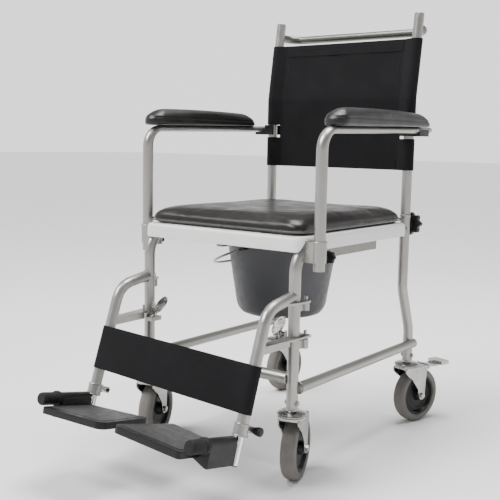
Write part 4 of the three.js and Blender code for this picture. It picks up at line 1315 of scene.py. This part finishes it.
def clamp_knob():
    """A mushroom-headed knob on the screw of the hanger's clamp."""
    middle = hanger_at(sum(CLAMP_Z) / 2)
    head = [[0, 24], [5.5, 23.8], [7.4, 22.8], [8.4, 20.5], [8.3, 16], [7.2, 11], [6.4, 8.2]]
    place = Matrix.Translation((LEG_X, middle.y + 29, middle.z - 8)) @ ALONG_X
    return turned(head + [[3, 8], [3, -9], [0, -9]], 40).moved(place)


def strap_rows(side):
    """Half of the calf strap, from the middle in front, round its hanger, and back to the middle behind."""
    radius, height = 12.3, 85
    path = [(x, -radius) for x in np.linspace(0, LEG_X, 36)][:-1]
    path += arc((LEG_X, 0), radius, -90, 90, 18)
    path += [(x, radius) for x in np.linspace(LEG_X, 0, 36)][1:]
    foot = hanger_at(182)
    turn = Matrix.Translation(foot - Vector((LEG_X, 0, 0))) @ Matrix.Rotation(-HANGER_LEAN, 4, "X")
    sign = OUTWARD[side]
    rows = []
    for h in np.linspace(0, height, 18):
        row = []
        for x, y in path:
            slack = max(0.0, 1 - (x / (LEG_X - 8)) ** 2)
            sag = -1.6 * slack
            ripple = 0.6 * cos(x * 0.05) * sin(h * 0.05 + 1) * min(1, slack * 2)
            dip = y + (sag + ripple if y < 0 else -sag * 0.6 - ripple)
            row.append(turn @ Vector((sign * x, dip, h - 0.04 * sign * x)))
        rows.append(row)
    return rows


def clamp_rims():
    """Bright rolled edges round the top and the foot of the clamp's collar."""
    profile = [[10.6, -1.3], [13.9, -1.3], [14.5, -0.4], [14.5, 0.4], [13.9, 1.3], [10.6, 1.3]]
    rim = turned(profile, 48, closed=True)
    made = Shape()
    for z in (CLAMP_Z[0] + 1, CLAMP_Z[1] - 1):
        made += rim.moved(standing(hanger_at(z), -hanger_down))
    return made


def add_straps():
    for side in SIDES:
        hanger = "hanger_" + side
        strap = cloth_piece("calf_band_" + side, strap_rows(side), 1.3, hanger, "calf_strap_" + side)
        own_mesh(strap)


def add_footplate(side, lift):
    body = "footplate_" + side
    for name, shape, nodes, material in (
        ("foot_tray_", footplate(), [body], None),
        ("foot_tread_", footplate_tread(), [], tread_painted_sheen_look),
    ):
        here = shape.moved(foot_place(FOOT_RISE[side]))
        if side == "right":
            here = here.mirrored().moved(Matrix.Translation(lift))
        add(name + side, here, body, "black_plastic", nodes, material)


def add_footrests():
    lift = -hanger_down * RIGHT_LIFT
    for name, shape, slot, node, material in (
        ("inner_tube", footrest_tube(), "zinc", "footrest_tube_{side}", chrome_look),
        ("inner_tube_plug", tube_plug(), "black_plastic", "", dark_plug),
        ("axle_grip", axle_cap(), "black_rubber", "footplate_cap_{side}", None),
    ):
        add_pair(name, shape, "footrest_{side}", slot, node, material, lift)
    add_pair("height_knob", clamp_knob(), "clamp_knob_{side}", "black_plastic", "clamp_knob_{side}")
    for side in SIDES:
        add_footplate(side, lift)
    add_pair("clamp_rim", clamp_rims(), "hanger_{side}", "silver_paint")
    for side in SIDES:
        refined("footrest_hanger_" + side, "silver_paint", 0.7)
        refined("latch_lever_" + side, "zinc")
    add_straps()


# ---- castors ----
def tyre():
    """A tyre with a rounded tread and a fine line round its middle."""
    half = TYRE_WIDTH / 2
    wall = [[46.5, 1.5], [48, 0], [54, 0], [57.5, 0.8], [60.2, 3.2], [61.9, 7]]
    wall = [[r, h - half] for r, h in wall]
    tread = [[WHEEL, -5], [WHEEL, -0.5], [WHEEL - 0.3, 0], [WHEEL, 0.5], [WHEEL, 5]]
    return turned(wall + tread + [[r, -h] for r, h in reversed(wall)], 96, closed=True)


def hub():
    """A smooth dish with a bead, the same on both sides."""
    half = TYRE_WIDTH / 2
    dish = [
        [5.6, 2], [10, 2], [12, 0], [14.5, -7], [30, -8.4], [31.4, -7.4], [33.4, -7.4], [34.6, -8.4],
        [37, -8], [39.5, -5], [41, -1], [45.4, -1], [46.2, -2],
    ]
    face = [[r, half + h] for r, h in dish]
    return turned(face + [[r, -h] for r, h in reversed(face)], 72, closed=True)


def castor_head():
    """Two ball races under the leg, and the stem's collar."""
    races = [
        [0, 131], [25, 131], [27.2, 131.8], [27.8, 134], [27.2, 136], [26, 136.8], [26, 137.6], [28, 138],
        [28.8, 139.6], [28, 141.4], [24, 143.4], [16, 144.6], [9.6, 145], [9, 147.8], [0, 147.8],
    ]
    return turned(races, 64)


def castor_fork():
    """Pressed housing: a bridge under the races and two cheeks that narrow to the axle."""
    cheek_x = TYRE_WIDTH / 2 + 5
    end = cheek_x + 1
    low, high = BRIDGE_Z
    outline = arc((TRAIL, WHEEL), 9.5, 200, 360, 14)
    outline += [(TRAIL + 12, 100), (TRAIL + 15, 118), (TRAIL + 15, low)]
    outline += arc((TRAIL + 11, low), 4, 0, 90, 4) + arc((-18, low), 4, 90, 180, 4)
    outline += [(-22, 122), (-14, 114), (-2, 106), (TRAIL - 14, 80)]
    made = Shape()
    for x in (-cheek_x - 1.2, cheek_x - 1.8):
        made += prism(outline, x, x + 3, 0.9).moved(ALONG_X)
    for side in (1, -1):
        made += bolt((side * end, TRAIL, WHEEL), (side, 0, 0), 6.6, 4.5)
    made += prism(rounded_rectangle((-end, end), (-22, TRAIL + 14), 6), low, high, 1.2)
    made += rod((-end, TRAIL, WHEEL), (end, TRAIL, WHEEL), 5)
    return made + castor_head() + rod((0, 0, 143), (0, 0, LEG_FOOT_Z + 7), 5, 24)


def pedal_pin():
    """The pin of the brake's pedal between its two ears."""
    made = Shape()
    for x in ((15.8, 18.6), (-18.6, -15.8)):
        made += box(x, (TRAIL + 8, 61), (123, 133), 1)
    return made + rod((-19.5, 54, 129), (19.5, 54, 129), 2.6)


def add_castors():
    wheel_place = Matrix.Translation((0, TRAIL, WHEEL)) @ ALONG_X
    for place, swivel in SWIVEL.items():
        end, side = place.split("_")
        stem = Matrix.Translation((OUTWARD[side] * LEG_X, FRONT_Y if end == "front" else REAR_Y, 0))
        turn = stem @ Matrix.Rotation(-radians(swivel), 4, "Z")
        fork = castor_fork() + pedal_pin() if end == "rear" else castor_fork()
        for name, shape, move, body, slot, node in (
            ("fork_", fork, turn, "castor_", "zinc", "castor_fork_"),
            ("tyre_", tyre(), turn @ wheel_place, "wheel_", "tyre", "castor_tyre_"),
            ("hub_", hub(), turn @ wheel_place, "wheel_", "hub", "castor_hub_"),
        ):
            add(name + place, shape.moved(move), body + place, slot, [node + place])
        if end == "rear":
            refined("brake_pedal_" + place, "zinc")


add_camera()
add_floor()
add_light()
add_frame()
add_seat()
add_back()
add_armrests()
add_pan()
add_footrests()
add_castors()
